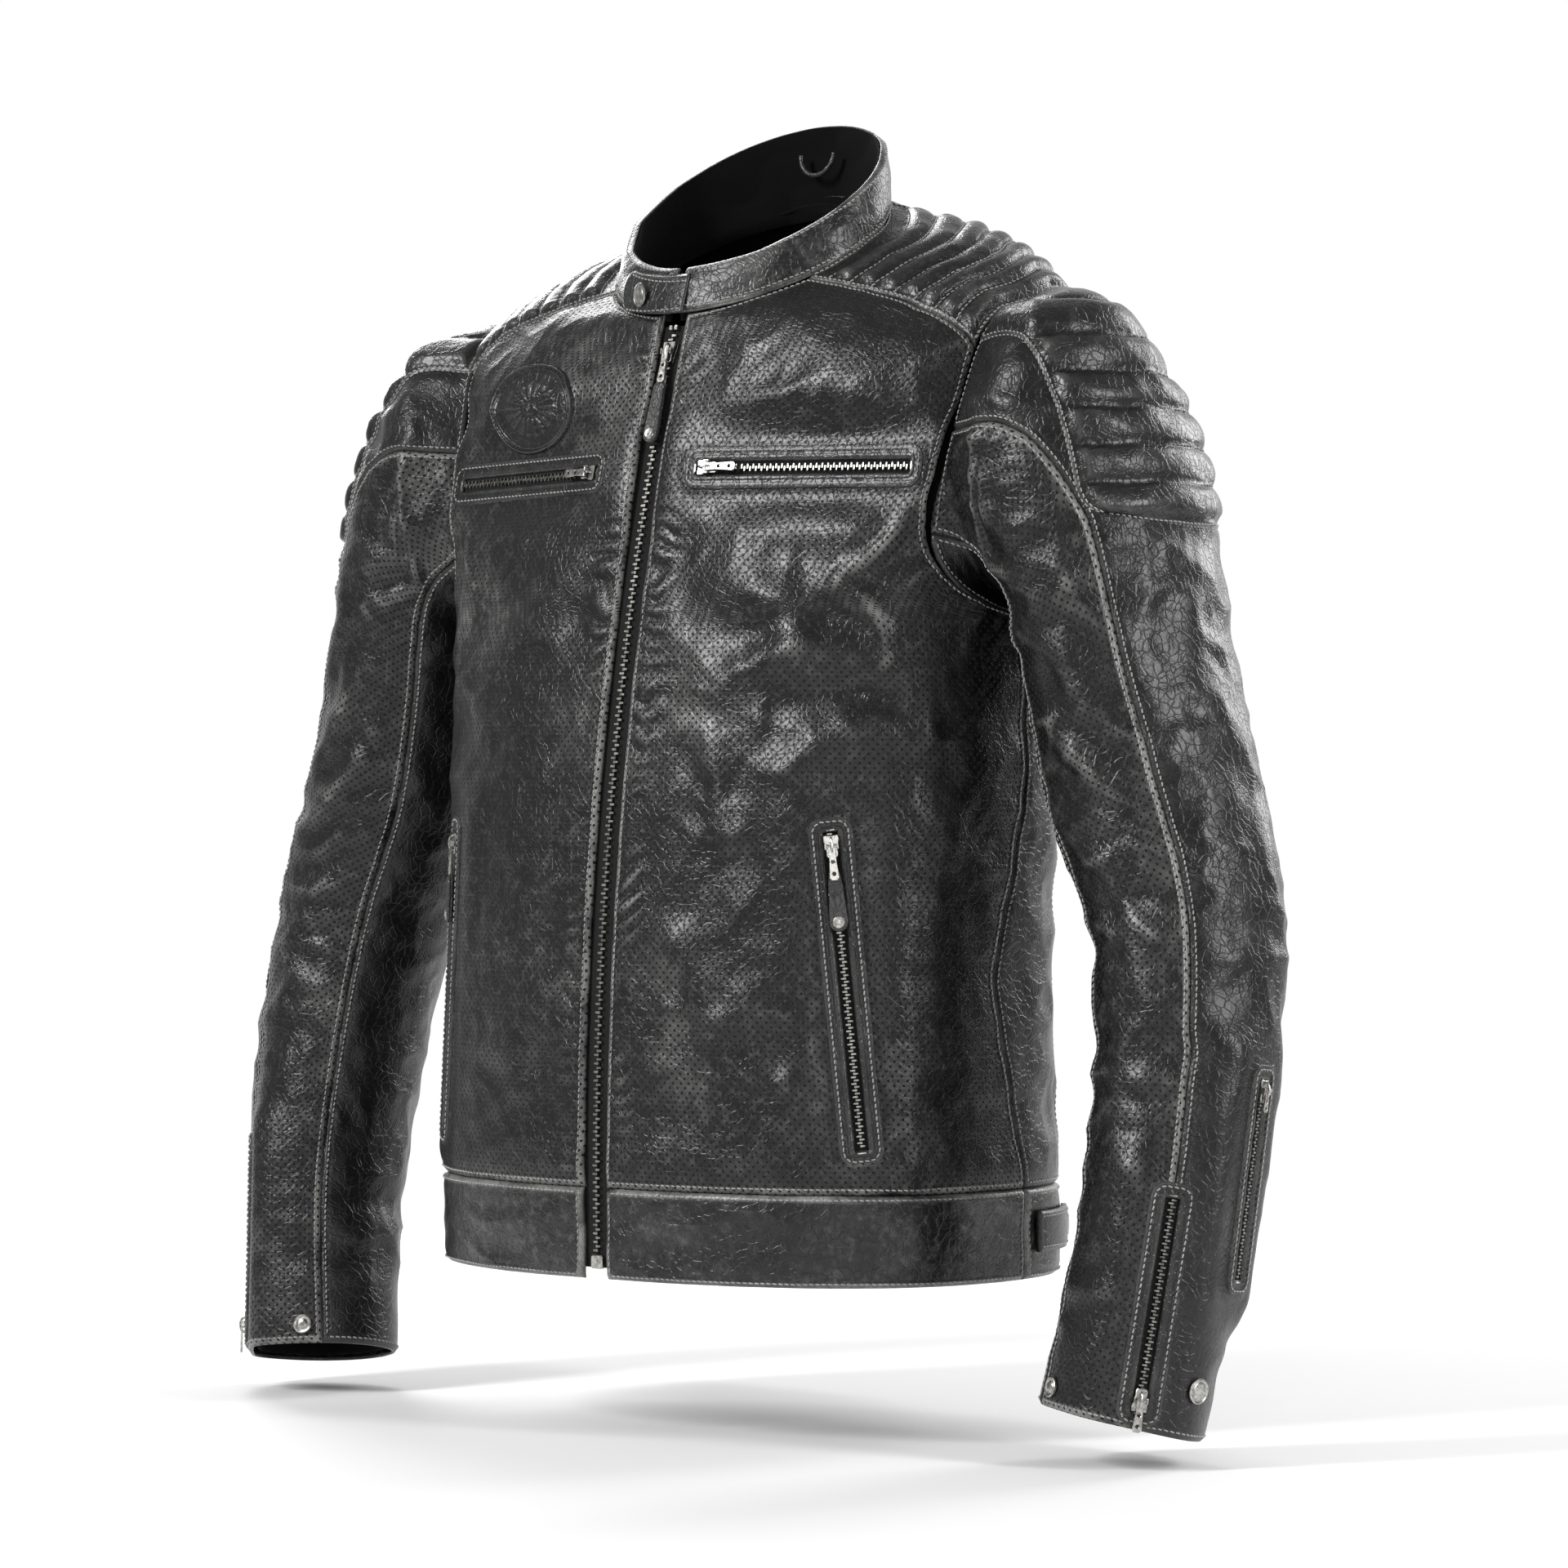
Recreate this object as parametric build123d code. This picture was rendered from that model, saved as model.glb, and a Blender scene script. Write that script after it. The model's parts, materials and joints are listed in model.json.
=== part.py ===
"""Leather riding jacket: stand collar, centre zip, four zipped pockets, quilted shoulders, zipped cuffs.

Frame: millimetres, +Z up, the wearer faces -Y and the wearer's left is +X. Z = 0 is the hem.
The jacket is held in its worn shape. The body is built from rings, closed curves that run round
the wearer from the hem to the neck, and each sleeve from rings along the arm. A panel is a loft
through the pieces of the rings that lie between its two seams.
"""

from build123d import *
import math
import os

os.makedirs("parts", exist_ok=True)

# ---------------------------------------------------------------- driving dimensions
LEATHER = 2.4            # body leather with its backing
BAND = 4.0               # doubled leather of the waistband and the collar
LINING = 1.2
SEAM = 0.5               # open space between two neighbouring solids
WAISTBAND = 54.0         # height of the waistband

# The centre front is one circular arc in the YZ plane, so that the zip slider can follow it.
FRONT_Y, FRONT_Z, FRONT_R = 1691.6, 63.2, 1831.7

# Body rings: front z, back y, back z, half width, squareness (2 is an ellipse).
BODY_RINGS = {
    "hem": (0, 140, 0, 198, 2.4),
    "band": (WAISTBAND, 139, WAISTBAND, 199, 2.4),
    "hip": (120, 138, 120, 197, 2.4),
    "waist": (215, 134, 215, 198, 2.4),
    "ribs": (320, 131, 320, 203, 2.5),
    "armpit": (400, 128, 402, 209, 2.6),
    "chest": (465, 125, 470, 212, 2.8),
    "blades": (518, 121, 530, 213, 2.8),
    "shoulder": (540, 113, 583, 214, 2.5),
    "slope": (556, 98, 622, 190, 2.2),
    "neck_root": (565, 86, 642, 148, 2.1),
    "neck": (572, 76, 655, 88, 2.0),
}
COLLAR_TOP = (600, 76, 696, 82, 2.0)

# Armhole: a plane that leans outward at the top.
ARMHOLE_CENTRE = (194.0, 12.0, 500.0)
ARMHOLE_LEAN = 7.0       # degrees
ARMPIT_Z = 402.0

# Upper sleeve rings: outer x, z, inner x, z, half width front to back. They fan out of the
# armhole, and the underarm runs out from the body before it turns down.
CAP_Y = 12.5
CAP_RINGS = [
    (250, 572, 195, 407.5, 75),
    (284, 532, 207, 406, 77),
    (306, 482, 217, 404, 77),
    (322, 428, 221, 374, 75),
    (334, 370, 226, 336, 70),
]
# Lower sleeve rings: centre x, y, z, half width outward, half width front to back.
SLEEVE_RINGS = [
    (298, 10, 286, 60, 64),
    (325, 5, 206, 55, 59),
    (333, -12, 110, 51, 54),
    (329, -29, 25, 48, 50),
    (315, -46, -70, 49, 45),
]
SLEEVE_HEAD = (72.0, 90.0)          # half width and half height of the sleeve at the armhole
SLEEVE_START = 1.5                  # from the armhole plane to the sleeve
CLEAR_R, CLEAR_DEPTH = 93.5, 33.0   # the sleeve keeps out of this ring, so that it can swing
# Sleeve seams, in degrees round the arm: 0 is outward, -90 the front, 90 the back.
SEAM_FRONT, SEAM_INNER, SEAM_BACK = -50.0, -132.0, 105.0
PAD_ANGLES = (-62.0, 98.0)

# Zips: half widths and thicknesses of the parts of one zip.
TAPE_W, TAPE_T = 13.0, 0.8
RAIL_W, RAIL_T = 5.0, 1.8
SLIDER_W, SLIDER_L, SLIDER_WALL = 9.0, 13.0, 1.2
RUN = 0.4                # clearance between a slider and its rail
WELT_W = 7.0             # leather strip round a pocket zip
PULL_W, PULL_T, PULL_L = 5.5, 1.2, 20.0
BRIDGE_R = 1.1
SNAP_R = 7.5


# ---------------------------------------------------------------- rings
def front_y(z):
    """The centre front's y at a height."""
    return FRONT_Y - math.sqrt(FRONT_R**2 - (z - FRONT_Z) ** 2)


class Ring:
    """A tilted superellipse round the body, given by its front and back points and half width."""

    def __init__(self, front_z, back_y, back_z, half_width, square):
        fy = front_y(front_z)
        self.yc, self.zc = (fy + back_y) / 2, (front_z + back_z) / 2
        self.b = math.hypot(back_y - fy, back_z - front_z) / 2
        self.a = half_width
        self.tilt = math.atan2(back_z - front_z, back_y - fy)
        self.n = square

    def point(self, angle, inset=0.0):
        """The point at an angle (0 is the left side, -90 the front), moved inward by inset."""
        c, s = math.cos(math.radians(angle)), math.sin(math.radians(angle))
        x = math.copysign(abs(c) ** (2 / self.n), c) * (self.a - inset)
        w = math.copysign(abs(s) ** (2 / self.n), s) * (self.b - inset)
        return Vector(x, self.yc + w * math.cos(self.tilt), self.zc + w * math.sin(self.tilt))

    def angle_at(self, x):
        """The angle on the front half where the ring is x from the centre plane."""
        return -math.degrees(math.acos((x / self.a) ** (self.n / 2)))


BODY = {name: Ring(*values) for name, values in BODY_RINGS.items()}


def body_ring(z):
    """A level-by-level blend of the two rings whose front points lie below and above z."""
    names = list(BODY_RINGS)
    for low, high in zip(names, names[1:]):
        if BODY_RINGS[high][0] >= z:
            break
    t = (z - BODY_RINGS[low][0]) / (BODY_RINGS[high][0] - BODY_RINGS[low][0])
    mixed = [p + (q - p) * t for p, q in zip(BODY_RINGS[low], BODY_RINGS[high])]
    return Ring(*mixed)


class ArmRing:
    """An ellipse across the left sleeve, square to the arm's line."""

    def __init__(self, centre, along, out_half, depth_half):
        self.centre = centre
        self.back = (Vector(0, 1, 0) - along * along.Y).normalized()
        self.out = self.back.cross(along).normalized()
        if self.out.X < 0:
            self.out = self.out * -1
        self.r_out, self.r_back = out_half, depth_half

    @classmethod
    def across(cls, outer, inner, depth_half):
        """A ring from its outer and inner points, level from front to back."""
        ring = cls((outer + inner) * 0.5, Vector(1, 0, 0), 1, depth_half)
        ring.out = (outer - inner).normalized()
        ring.back = Vector(0, 1, 0)
        ring.r_out = (outer - inner).length / 2
        return ring

    def point(self, angle, inset=0.0):
        c, s = math.cos(math.radians(angle)), math.sin(math.radians(angle))
        return (self.centre + self.out * ((self.r_out - inset) * c)
                + self.back * ((self.r_back - inset) * s))


LEAN = math.radians(ARMHOLE_LEAN)
ARM_NORMAL = Vector(math.cos(LEAN), 0, -math.sin(LEAN))
ARM_CENTRE = Vector(*ARMHOLE_CENTRE)


def arm_rings():
    """The sleeve's rings from the armhole to the cuff."""
    start = ARM_CENTRE + ARM_NORMAL * SLEEVE_START
    reach = Vector(math.sin(LEAN), 0, math.cos(LEAN)) * SLEEVE_HEAD[1]
    rings = [ArmRing.across(start + reach, start - reach, SLEEVE_HEAD[0])]
    for x0, z0, x1, z1, depth in CAP_RINGS:
        rings.append(ArmRing.across(Vector(x0, CAP_Y, z0), Vector(x1, CAP_Y, z1), depth))
    centres = [rings[-1].centre] + [Vector(*row[:3]) for row in SLEEVE_RINGS]
    for i, row in enumerate(SLEEVE_RINGS, start=1):
        before, after = centres[i - 1], centres[min(i + 1, len(centres) - 1)]
        rings.append(ArmRing(centres[i], (after - before).normalized(), row[3], row[4]))
    return rings


ARM = arm_rings()


# ---------------------------------------------------------------- solids from rings
def strip(ring, start, end, outer, inner, points=9):
    """A planar face between two angles of a ring and two insets from it."""
    angles = [start + (end - start) * i / (points - 1) for i in range(points)]
    outside = [ring.point(t, outer) for t in angles]
    inside = [ring.point(t, inner) for t in angles]
    edges = [
        Edge.make_spline(outside),
        Edge.make_line(outside[-1], inside[-1]),
        Edge.make_spline(inside[::-1]),
        Edge.make_line(inside[0], outside[0]),
    ]
    return Wire(edges)


def panel(rings, starts, ends, outer=0.0, inner=LEATHER, points=None):
    """A panel lofted through rings, between a start and an end angle on each."""
    span = max(abs(e - s) for s, e in zip(starts, ends))
    points = points or max(5, round(span / 8) + 1)
    wires = [strip(r, s, e, outer, inner, points) for r, s, e in zip(rings, starts, ends)]
    return Solid.make_loft(wires)


def mirrored(shape):
    return mirror(shape, about=Plane.YZ)


written = {}


def keep(name, shape):
    """Writes one node and remembers it."""
    solids = shape.solids() if hasattr(shape, "solids") else shape
    body = Compound(children=list(solids)) if len(solids) > 1 else solids[0]
    written[name] = body
    export_step(body, f"parts/{name}.step")


def keep_pair(name, left):
    """Writes the left node and its mirror image for the right."""
    keep(f"{name}_left", left)
    keep(f"{name}_right", mirrored(left))


def at(plane, x, y, z, w, d, h):
    """A box of size w, d, h centred on x, y, z of a plane."""
    return plane * Pos(x, y, z) * Box(w, d, h)


# ---------------------------------------------------------------- zips
def rail_face(half_x, low_y, high_y, z):
    """A rectangle in a plane of constant z, for revolving along the centre front."""
    points = [(-half_x, low_y), (half_x, low_y), (half_x, high_y), (-half_x, high_y)]
    return Plane.XY.offset(z) * Face(Wire.make_polygon([Vector(x, y) for x, y in points]))


def slider_body(plane, x, rail=RAIL_T):
    """A channel over the rail with a plate behind the tape, and the bridge that holds the pull."""
    wide, wall = SLIDER_W, SLIDER_WALL
    top = rail + RUN
    cap = at(plane, x, 0, top + wall / 2, SLIDER_L, wide, wall)
    side_h = top - RUN
    for side in (-1, 1):
        y = side * (wide - wall) / 2
        cap += at(plane, x, y, RUN + side_h / 2, SLIDER_L, wall, side_h)
    back = at(plane, x, 0, -TAPE_T - RUN - wall / 2, SLIDER_L, wide, wall)
    bridge_z = top + wall + BRIDGE_R + 0.6
    for side in (-1, 1):
        cap += at(plane, x, side * (PULL_W / 2 + 0.9), top + wall + 1.4, 4.0, 1.2, 2.8)
    return cap, back, bridge_z


def pull_tab(plane, x, bridge_z, strap=0.0, reach=PULL_L, side=1):
    """A metal tab that turns on the bridge, and the leather strap that hangs from it.

    It points along the zip, to its far end for side 1 and away from it for side -1.
    """
    length = reach * side
    tab = at(plane, x + length / 2, 0, bridge_z, reach, PULL_W, PULL_T)
    tab += plane * Pos(x, 0, bridge_z) * Rot(90, 0, 0) * Cylinder(BRIDGE_R, PULL_W)
    for hole in (0.45, 0.8):
        tab -= plane * Pos(x + length * hole, 0, bridge_z) * Cylinder(1.1, 2 * PULL_T)
    if not strap:
        return tab, None
    far = x + length + strap
    leather = at(plane, (x + length + 0.3 + far) / 2, 0, bridge_z, strap - 0.3, 11.0, 2.0)
    leather += plane * Pos(far, 0, bridge_z) * Cylinder(5.5, 2.0)
    leather -= plane * Pos(far, 0, bridge_z) * Cylinder(2.6, 3.0)
    rivet = plane * Pos(far, 0, bridge_z) * Cylinder(2.4, 3.4)
    return tab, Compound(children=[*leather.solids(), *rivet.solids()])


def zip_plane(start, end, outward):
    """A plane whose x runs along the zip, from its slider to its far end, and z points out."""
    along = (end - start).normalized()
    out = (outward - along * outward.dot(along)).normalized()
    return Plane(origin=start, x_dir=along, z_dir=out)


def pocket_zip(start, end, outward, strap=0.0, slider_at=9.0, sunk=1.0, reach=PULL_L, side=1):
    """One zip on the left side: its parts in the open, and the block of panel it takes away."""
    length = (end - start).length
    plane = zip_plane(start, end, outward)
    plane = plane.offset(-sunk)
    mid = length / 2
    opening = TAPE_W + 2 * SEAM
    welt = at(plane, mid, 0, 0.4, length + 2 * WELT_W, opening + 2 * WELT_W, 2.6)
    welt -= at(plane, mid, 0, 0.4, length, opening, 4.0)
    chain = at(plane, mid, 0, -TAPE_T / 2, length - 2 * SEAM, TAPE_W, TAPE_T)
    chain += at(plane, mid, 0, RAIL_T / 2, length - 2 * SEAM - 4, RAIL_W, RAIL_T)
    cap, back, bridge = slider_body(plane, slider_at)
    tab, leather = pull_tab(plane, slider_at, bridge, strap, reach, side)
    window = at(plane, mid, 0, 0, length + 2 * WELT_W + 2 * SEAM, opening + 2 * WELT_W + 2 * SEAM, 24)
    slider = Compound(children=[*cap.solids(), *back.solids()])
    return {"welt": welt, "chain": chain, "slider": slider, "pull": tab, "leather": leather,
            "window": window, "plane": plane, "length": length, "bridge": bridge, "x": slider_at}


facts = {}


def note(name, zip_parts):
    """Prints a joint's direction, pivot and travel for the record."""
    plane = zip_parts["plane"]
    pivot = plane.from_local_coords(Vector(zip_parts["x"], 0, zip_parts["bridge"]))
    facts[name] = {
        "along": [round(v, 5) for v in plane.x_dir],
        "across": [round(v, 5) for v in plane.y_dir],
        "pivot_mm": [round(v, 3) for v in pivot],
        "travel_mm": round(zip_parts["length"] - 2 * zip_parts["x"], 2),
    }


def surface_spot(z, x=None, angle=None):
    """A point on the body and its outward direction, at a height and an x or an angle."""
    ring = body_ring(z)
    t = ring.angle_at(x) if angle is None else angle
    p, q = ring.point(t - 1), ring.point(t + 1)
    here = ring.point(t)
    across = q - p
    up = Vector(0, front_y(z + 5) - front_y(z - 5), 10)
    out = across.cross(up).normalized()
    return here, out


chest_a, chest_out = surface_spot(477, x=38)
chest_b, _ = surface_spot(474, x=178)
_, chest_out = surface_spot(476, x=108)
CHEST = pocket_zip(chest_a, chest_b, chest_out, sunk=0.5)
hand_a, _ = surface_spot(265, angle=-47)
hand_b, _ = surface_spot(78, angle=-37)
_, hand_out = surface_spot(170, angle=-42)
HAND = pocket_zip(hand_a, hand_b, hand_out, strap=24.0, sunk=0.5, slider_at=10.0)


def sleeve_spot(z, angle):
    """A point on the left sleeve at a height and an angle, and its outward direction."""
    rings = ARM[1:]
    for low, high in zip(rings, rings[1:]):
        a, b = low.point(angle), high.point(angle)
        if b.Z <= z <= a.Z:
            t = (a.Z - z) / (a.Z - b.Z)
            here = a + (b - a) * t
            centre = low.centre + (high.centre - low.centre) * t
            return here, (here - centre).normalized()
    raise ValueError("no sleeve at that height")


cuff_a, cuff_out = sleeve_spot(-60, -47)
cuff_b, _ = sleeve_spot(62, -49)
CUFF = pocket_zip(cuff_a, cuff_b, cuff_out, sunk=0.5, slider_at=8.0, reach=18.0, side=-1)
vent_a, _ = sleeve_spot(126, 4)
vent_b, _ = sleeve_spot(10, 14)
_, vent_out = sleeve_spot(70, 9)
VENT = pocket_zip(vent_a, vent_b, vent_out, sunk=0.5, slider_at=8.0)

# ---------------------------------------------------------------- body panels
R = BODY
FRONT_EDGE = 11.0        # from the centre plane to the leather's edge
SIDE_SEAM, BACK_SEAM = -4.0, 34.0
GAP_DEG = 0.12


def edges_of(names, x):
    return [R[n].angle_at(x) for n in names]


lower = ["band", "hip", "waist", "ribs", "armpit", "chest", "blades"]
front_names = lower + ["shoulder", "slope", "neck_root", "neck"]
front_starts = edges_of(front_names, FRONT_EDGE)
front_ends = [SIDE_SEAM] * len(lower) + [-10.0, -33.0, -33.0, -32.0]
front = panel([R[n] for n in front_names], front_starts, front_ends)
band_clear = Pos(0, 0, WAISTBAND / 2) * Box(600, 600, WAISTBAND + 2 * SEAM)

# The armhole is cut by everything outside its plane and above the armpit.
arm_plane = Plane(origin=ARM_CENTRE, x_dir=Vector(0, 1, 0), z_dir=ARM_NORMAL)
armhole = arm_plane * Pos(0, 0, 100) * Box(400, 400, 200)
armhole = armhole & Pos(200, 0, ARMPIT_Z + 200) * Box(400, 400, 400)

front = front - armhole - band_clear - CHEST["window"] - HAND["window"]

side_names = ["band", "hip", "waist", "ribs", "armpit"]
side = panel(
    [R[n] for n in side_names],
    [SIDE_SEAM + GAP_DEG * 2] * len(side_names),
    [BACK_SEAM - 2.0] * len(side_names),
)
side = side - armhole - band_clear

back_names = lower + ["shoulder", "slope", "neck_root", "neck"]
back_starts = [BACK_SEAM] * 5 + [30.0, 26.0, 16.0, 36.0, 47.0, 52.0]
back = panel([R[n] for n in back_names], back_starts, [180 - s for s in back_starts])
back = back - armhole - mirrored(armhole) - band_clear

# ---------------------------------------------------------------- shoulder yokes
YOKE_IN, YOKE_OUT = 90.0, 200.0


def yoke_section(x):
    """An arch over the shoulder in a plane of constant x."""
    t = (x - YOKE_IN) / (YOKE_OUT - YOKE_IN)
    front_edge = Vector(x, -32 - 8 * t, 605 - 44 * t)
    crown = Vector(x, 26, 646 - 46 * t)
    back_edge = Vector(x, 72 + 14 * t, 640 - 40 * t)
    inward = Vector(0, 0, -LEATHER)
    outer = Edge.make_three_point_arc(front_edge, crown, back_edge)
    inner = Edge.make_three_point_arc(front_edge + inward, crown + inward, back_edge + inward)
    sides = [Edge.make_line(back_edge, back_edge + inward), Edge.make_line(front_edge + inward, front_edge)]
    return Wire([outer, sides[0], inner, sides[1]])


yoke = Solid.make_loft([yoke_section(YOKE_IN + (YOKE_OUT - YOKE_IN) * i / 4) for i in range(5)])
yoke = yoke - armhole

# ---------------------------------------------------------------- collar
collar_low = Ring(*BODY_RINGS["neck"])
collar_mid = Ring(586, 77, 676, 85, 2.0)
collar_high = Ring(*COLLAR_TOP)
COLLAR_RINGS = [collar_low, collar_mid, collar_high]
COLLAR_EDGE = 4.0        # from the centre plane to each end of the collar
collar_starts = [r.angle_at(COLLAR_EDGE) for r in COLLAR_RINGS]
collar = panel(COLLAR_RINGS, collar_starts, [180 - s for s in collar_starts], -2.0, BAND - 2.0)


keep_pair("front_panel", front)
keep_pair("side_panel", side)
keep("back_panel", back)
keep_pair("shoulder_yoke", yoke)
keep("collar_band", collar)
collar_lining = panel(COLLAR_RINGS, collar_starts, [180 - s for s in collar_starts], BAND - 1.6, BAND - 0.8)
keep("collar_lining", collar_lining)

# ---------------------------------------------------------------- waistband
hem_ring = [Ring(*BODY_RINGS["hem"]), Ring(*BODY_RINGS["band"])]
band_starts = [r.angle_at(FRONT_EDGE) for r in hem_ring]
waist_front = panel(hem_ring, band_starts, [3.6] * 2, -0.6, BAND - 0.6)
keep_pair("waistband_front", waist_front)
keep("waistband_back", panel(hem_ring, [4.0] * 2, [176.0] * 2, -0.6, BAND - 0.6))

# ---------------------------------------------------------------- lining of the body
LINING_IN = 15.0         # inside the slider plates of the pocket zips
lining_names = ["hem", "band", "hip", "waist", "ribs", "armpit", "chest", "blades", "shoulder"]
lining_rings = [R[n] for n in lining_names]
lining_rings[0] = Ring(10, 140, 10, 198, 2.4)
lining_half = panel(lining_rings, [r.angle_at(16) for r in lining_rings], [90.0] * 9, LINING_IN, LINING_IN + LINING)
arm_inner = arm_plane * Pos(0, 0, 90) * Box(400, 400, 200)
lining_half = lining_half - (arm_inner & Pos(200, 0, ARMPIT_Z + 190) * Box(400, 400, 400))
keep("body_lining", Compound(children=[*lining_half.solids(), *mirrored(lining_half).solids()]))

# ---------------------------------------------------------------- pocket bags
def bag(low, high, start, end):
    return panel([body_ring(low), body_ring((low + high) / 2), body_ring(high)], [start] * 3, [end] * 3, 7.6, 9.6)


chest_bag = bag(340, 440, -66, -34)
hand_bag = bag(66, 240, -66, -24)
keep("pocket_bags", Compound(children=[chest_bag, mirrored(chest_bag), hand_bag, mirrored(hand_bag)]))

# ---------------------------------------------------------------- centre zip
FRONT_AXIS = Axis((0, FRONT_Y, FRONT_Z), (1, 0, 0))
ZIP_LOW, ZIP_HIGH = 6.0, 566.0


def arc_turn(z):
    """Degrees round the front arc from its foremost level up to height z."""
    return math.degrees(math.asin((z - FRONT_Z) / FRONT_R))


def along_front(x0, x1, y0, y1, low, high):
    """A strip along the centre front: x from x0 to x1, and y0 to y1 behind the front line."""
    base = front_y(FRONT_Z)
    corners = [(x0, base + y0), (x1, base + y0), (x1, base + y1), (x0, base + y1)]
    face = Face(Wire.make_polygon([Vector(x, y, FRONT_Z) for x, y in corners]))
    face = Pos(0, 0, 0) * face.rotate(FRONT_AXIS, -arc_turn(low))
    return revolve(face, FRONT_AXIS, -(arc_turn(high) - arc_turn(low)))


TAPE_BACK = 5.2          # from the front line to the back of the centre zip's tape
MAIN_RAIL_W = 3.0
tape_left = along_front(SEAM / 2, 15.5, TAPE_BACK - 1.0, TAPE_BACK, ZIP_LOW, ZIP_HIGH)
keep_pair("zip_tape", tape_left)
rail_left = along_front(SEAM / 2, MAIN_RAIL_W, TAPE_BACK - 3.0, TAPE_BACK - 1.0, ZIP_LOW + 9, ZIP_HIGH - 4)
keep_pair("zip_teeth", rail_left)
stop_box = along_front(-4.5, 4.5, TAPE_BACK - 4.0, TAPE_BACK - 1.0, ZIP_LOW, ZIP_LOW + 8)
top_stop = along_front(0.6, 3.4, TAPE_BACK - 4.0, TAPE_BACK - 1.0, ZIP_HIGH - 3.5, ZIP_HIGH - 0.5)
keep("zip_stops", Compound(children=[*stop_box.solids(), *top_stop.solids(), *mirrored(top_stop).solids()]))

MAIN_Z = 549.0           # the closed slider's height
MAIN_LOW = 30.0
main_plane = Plane(origin=(0, front_y(FRONT_Z) + TAPE_BACK - 1.0, FRONT_Z), x_dir=(0, 0, -1), z_dir=(0, -1, 0))
cap, back_plate, main_bridge = slider_body(main_plane, 0, 2.0)
main_tab, main_leather = pull_tab(main_plane, 0, main_bridge, 32.0)
turn = -arc_turn(MAIN_Z)


def raised(shape):
    return shape.rotate(FRONT_AXIS, turn)


keep("main_slider", raised(Compound(children=[*cap.solids(), *back_plate.solids()])))
keep("main_pull", raised(main_tab))
keep("main_pull_strap", raised(main_leather))
bridge_r = FRONT_R - (TAPE_BACK - 1.0 - main_bridge)
rise = math.radians(arc_turn(MAIN_Z))
facts["main"] = {
    "pivot_mm": [0, round(FRONT_Y - bridge_r * math.cos(rise), 3), round(FRONT_Z + bridge_r * math.sin(rise), 3)],
    "slide_deg": round(arc_turn(MAIN_Z) - arc_turn(MAIN_LOW), 3),
}

# ---------------------------------------------------------------- pocket zips
for node, key in (("pocket_welts", "welt"), ("pocket_zips", "chain")):
    left = [*CHEST[key].solids(), *HAND[key].solids()]
    keep(node, Compound(children=left + [mirrored(solid) for solid in left]))
for name, parts, strap in (("chest", CHEST, False), ("hand", HAND, True)):
    note(name, parts)
    keep_pair(f"{name}_slider", parts["slider"])
    tab = parts["pull"]
    if strap:
        tab = Compound(children=[*tab.solids(), *parts["leather"].solids()])
    keep_pair(f"{name}_pull", tab)

# ---------------------------------------------------------------- collar tab, loop, badge, straps
TAB_ROOT_X, TAB_TIP_X = 9.0, -46.0


def tab_angle(ring, x):
    return ring.angle_at(x) if x > 0 else -180 - ring.angle_at(-x)


tab_rings = [Ring(575, 76, 660, 87, 2.0), Ring(598, 76, 693, 83, 2.0)]
tab_starts = [tab_angle(r, TAB_TIP_X) for r in tab_rings]
tab_ends = [tab_angle(r, TAB_ROOT_X) for r in tab_rings]
keep("collar_tab", panel(tab_rings, tab_starts, tab_ends, -7.2, -4.4))
mid_ring = Ring(586.5, 76, 676.5, 85, 2.0)
cap_angle = tab_angle(mid_ring, -24.0)
cap_at = mid_ring.point(cap_angle, -8.5)
cap_out = (mid_ring.point(cap_angle, -8) - mid_ring.point(cap_angle, 0)).normalized()
slant = (tab_rings[1].point(cap_angle) - tab_rings[0].point(cap_angle)).normalized()
cap_out = (cap_out - slant * cap_out.dot(slant)).normalized()
cap_plane = Plane(origin=cap_at, z_dir=cap_out)
keep("collar_snap_cap", cap_plane * Pos(0, 0, 1.1) * Cylinder(SNAP_R, 1.6))
root_low, root_high = tab_rings[0].point(tab_ends[0], -5.8), tab_rings[1].point(tab_ends[1], -5.8)
facts["collar_tab"] = {
    "pivot_mm": [round(v, 3) for v in root_low],
    "axis": [round(v, 5) for v in (root_high - root_low).normalized()],
}

LOOP_R, LOOP_BEND, LOOP_Y, LOOP_Z = 1.6, 13.0, 66.0, 678.0
loop_path = Edge.make_three_point_arc((-LOOP_BEND, LOOP_Y, LOOP_Z), (0, LOOP_Y - 2, LOOP_Z - LOOP_BEND), (LOOP_BEND, LOOP_Y, LOOP_Z))
keep("hang_loop", sweep(Plane(origin=loop_path @ 0, z_dir=loop_path % 0) * Circle(LOOP_R), path=loop_path))

badge_at, badge_out = surface_spot(513, x=105)
badge_plane = Plane(origin=badge_at, x_dir=zip_plane(chest_a, chest_b, chest_out).x_dir, z_dir=badge_out)
badge = badge_plane * Pos(0, 0, 2.2) * extrude(Ellipse(33, 24), 1.2)
keep("chest_badge", mirrored(badge))

strap_rings = [Ring(16, 140, 16, 198, 2.4), Ring(40, 139, 40, 198.6, 2.4)]
keep_pair("waist_strap", panel(strap_rings, [8.0] * 2, [38.0] * 2, -5.4, -2.4))
facts["waist_strap"] = {"pivot_mm": [round(v, 3) for v in strap_rings[0].point(8.0, -4)]}


def stud(ring, angle, low, high, radius):
    """A snap part set on a ring at an angle, between two distances out of the leather."""
    p, q = ring.point(angle - 1), ring.point(angle + 1)
    out = (q - p).cross(Vector(0, 0, 1)).normalized()
    plane = Plane(origin=ring.point(angle), z_dir=out)
    return plane * Pos(0, 0, (low + high) / 2) * Cylinder(radius, high - low)


waist_stud = stud(Ring(28, 139.5, 28, 198.3, 2.4), 46.0, 1.6, 3.4, 6.0)
keep("waist_snaps", Compound(children=[*waist_stud.solids(), *mirrored(waist_stud).solids()]))

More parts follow.
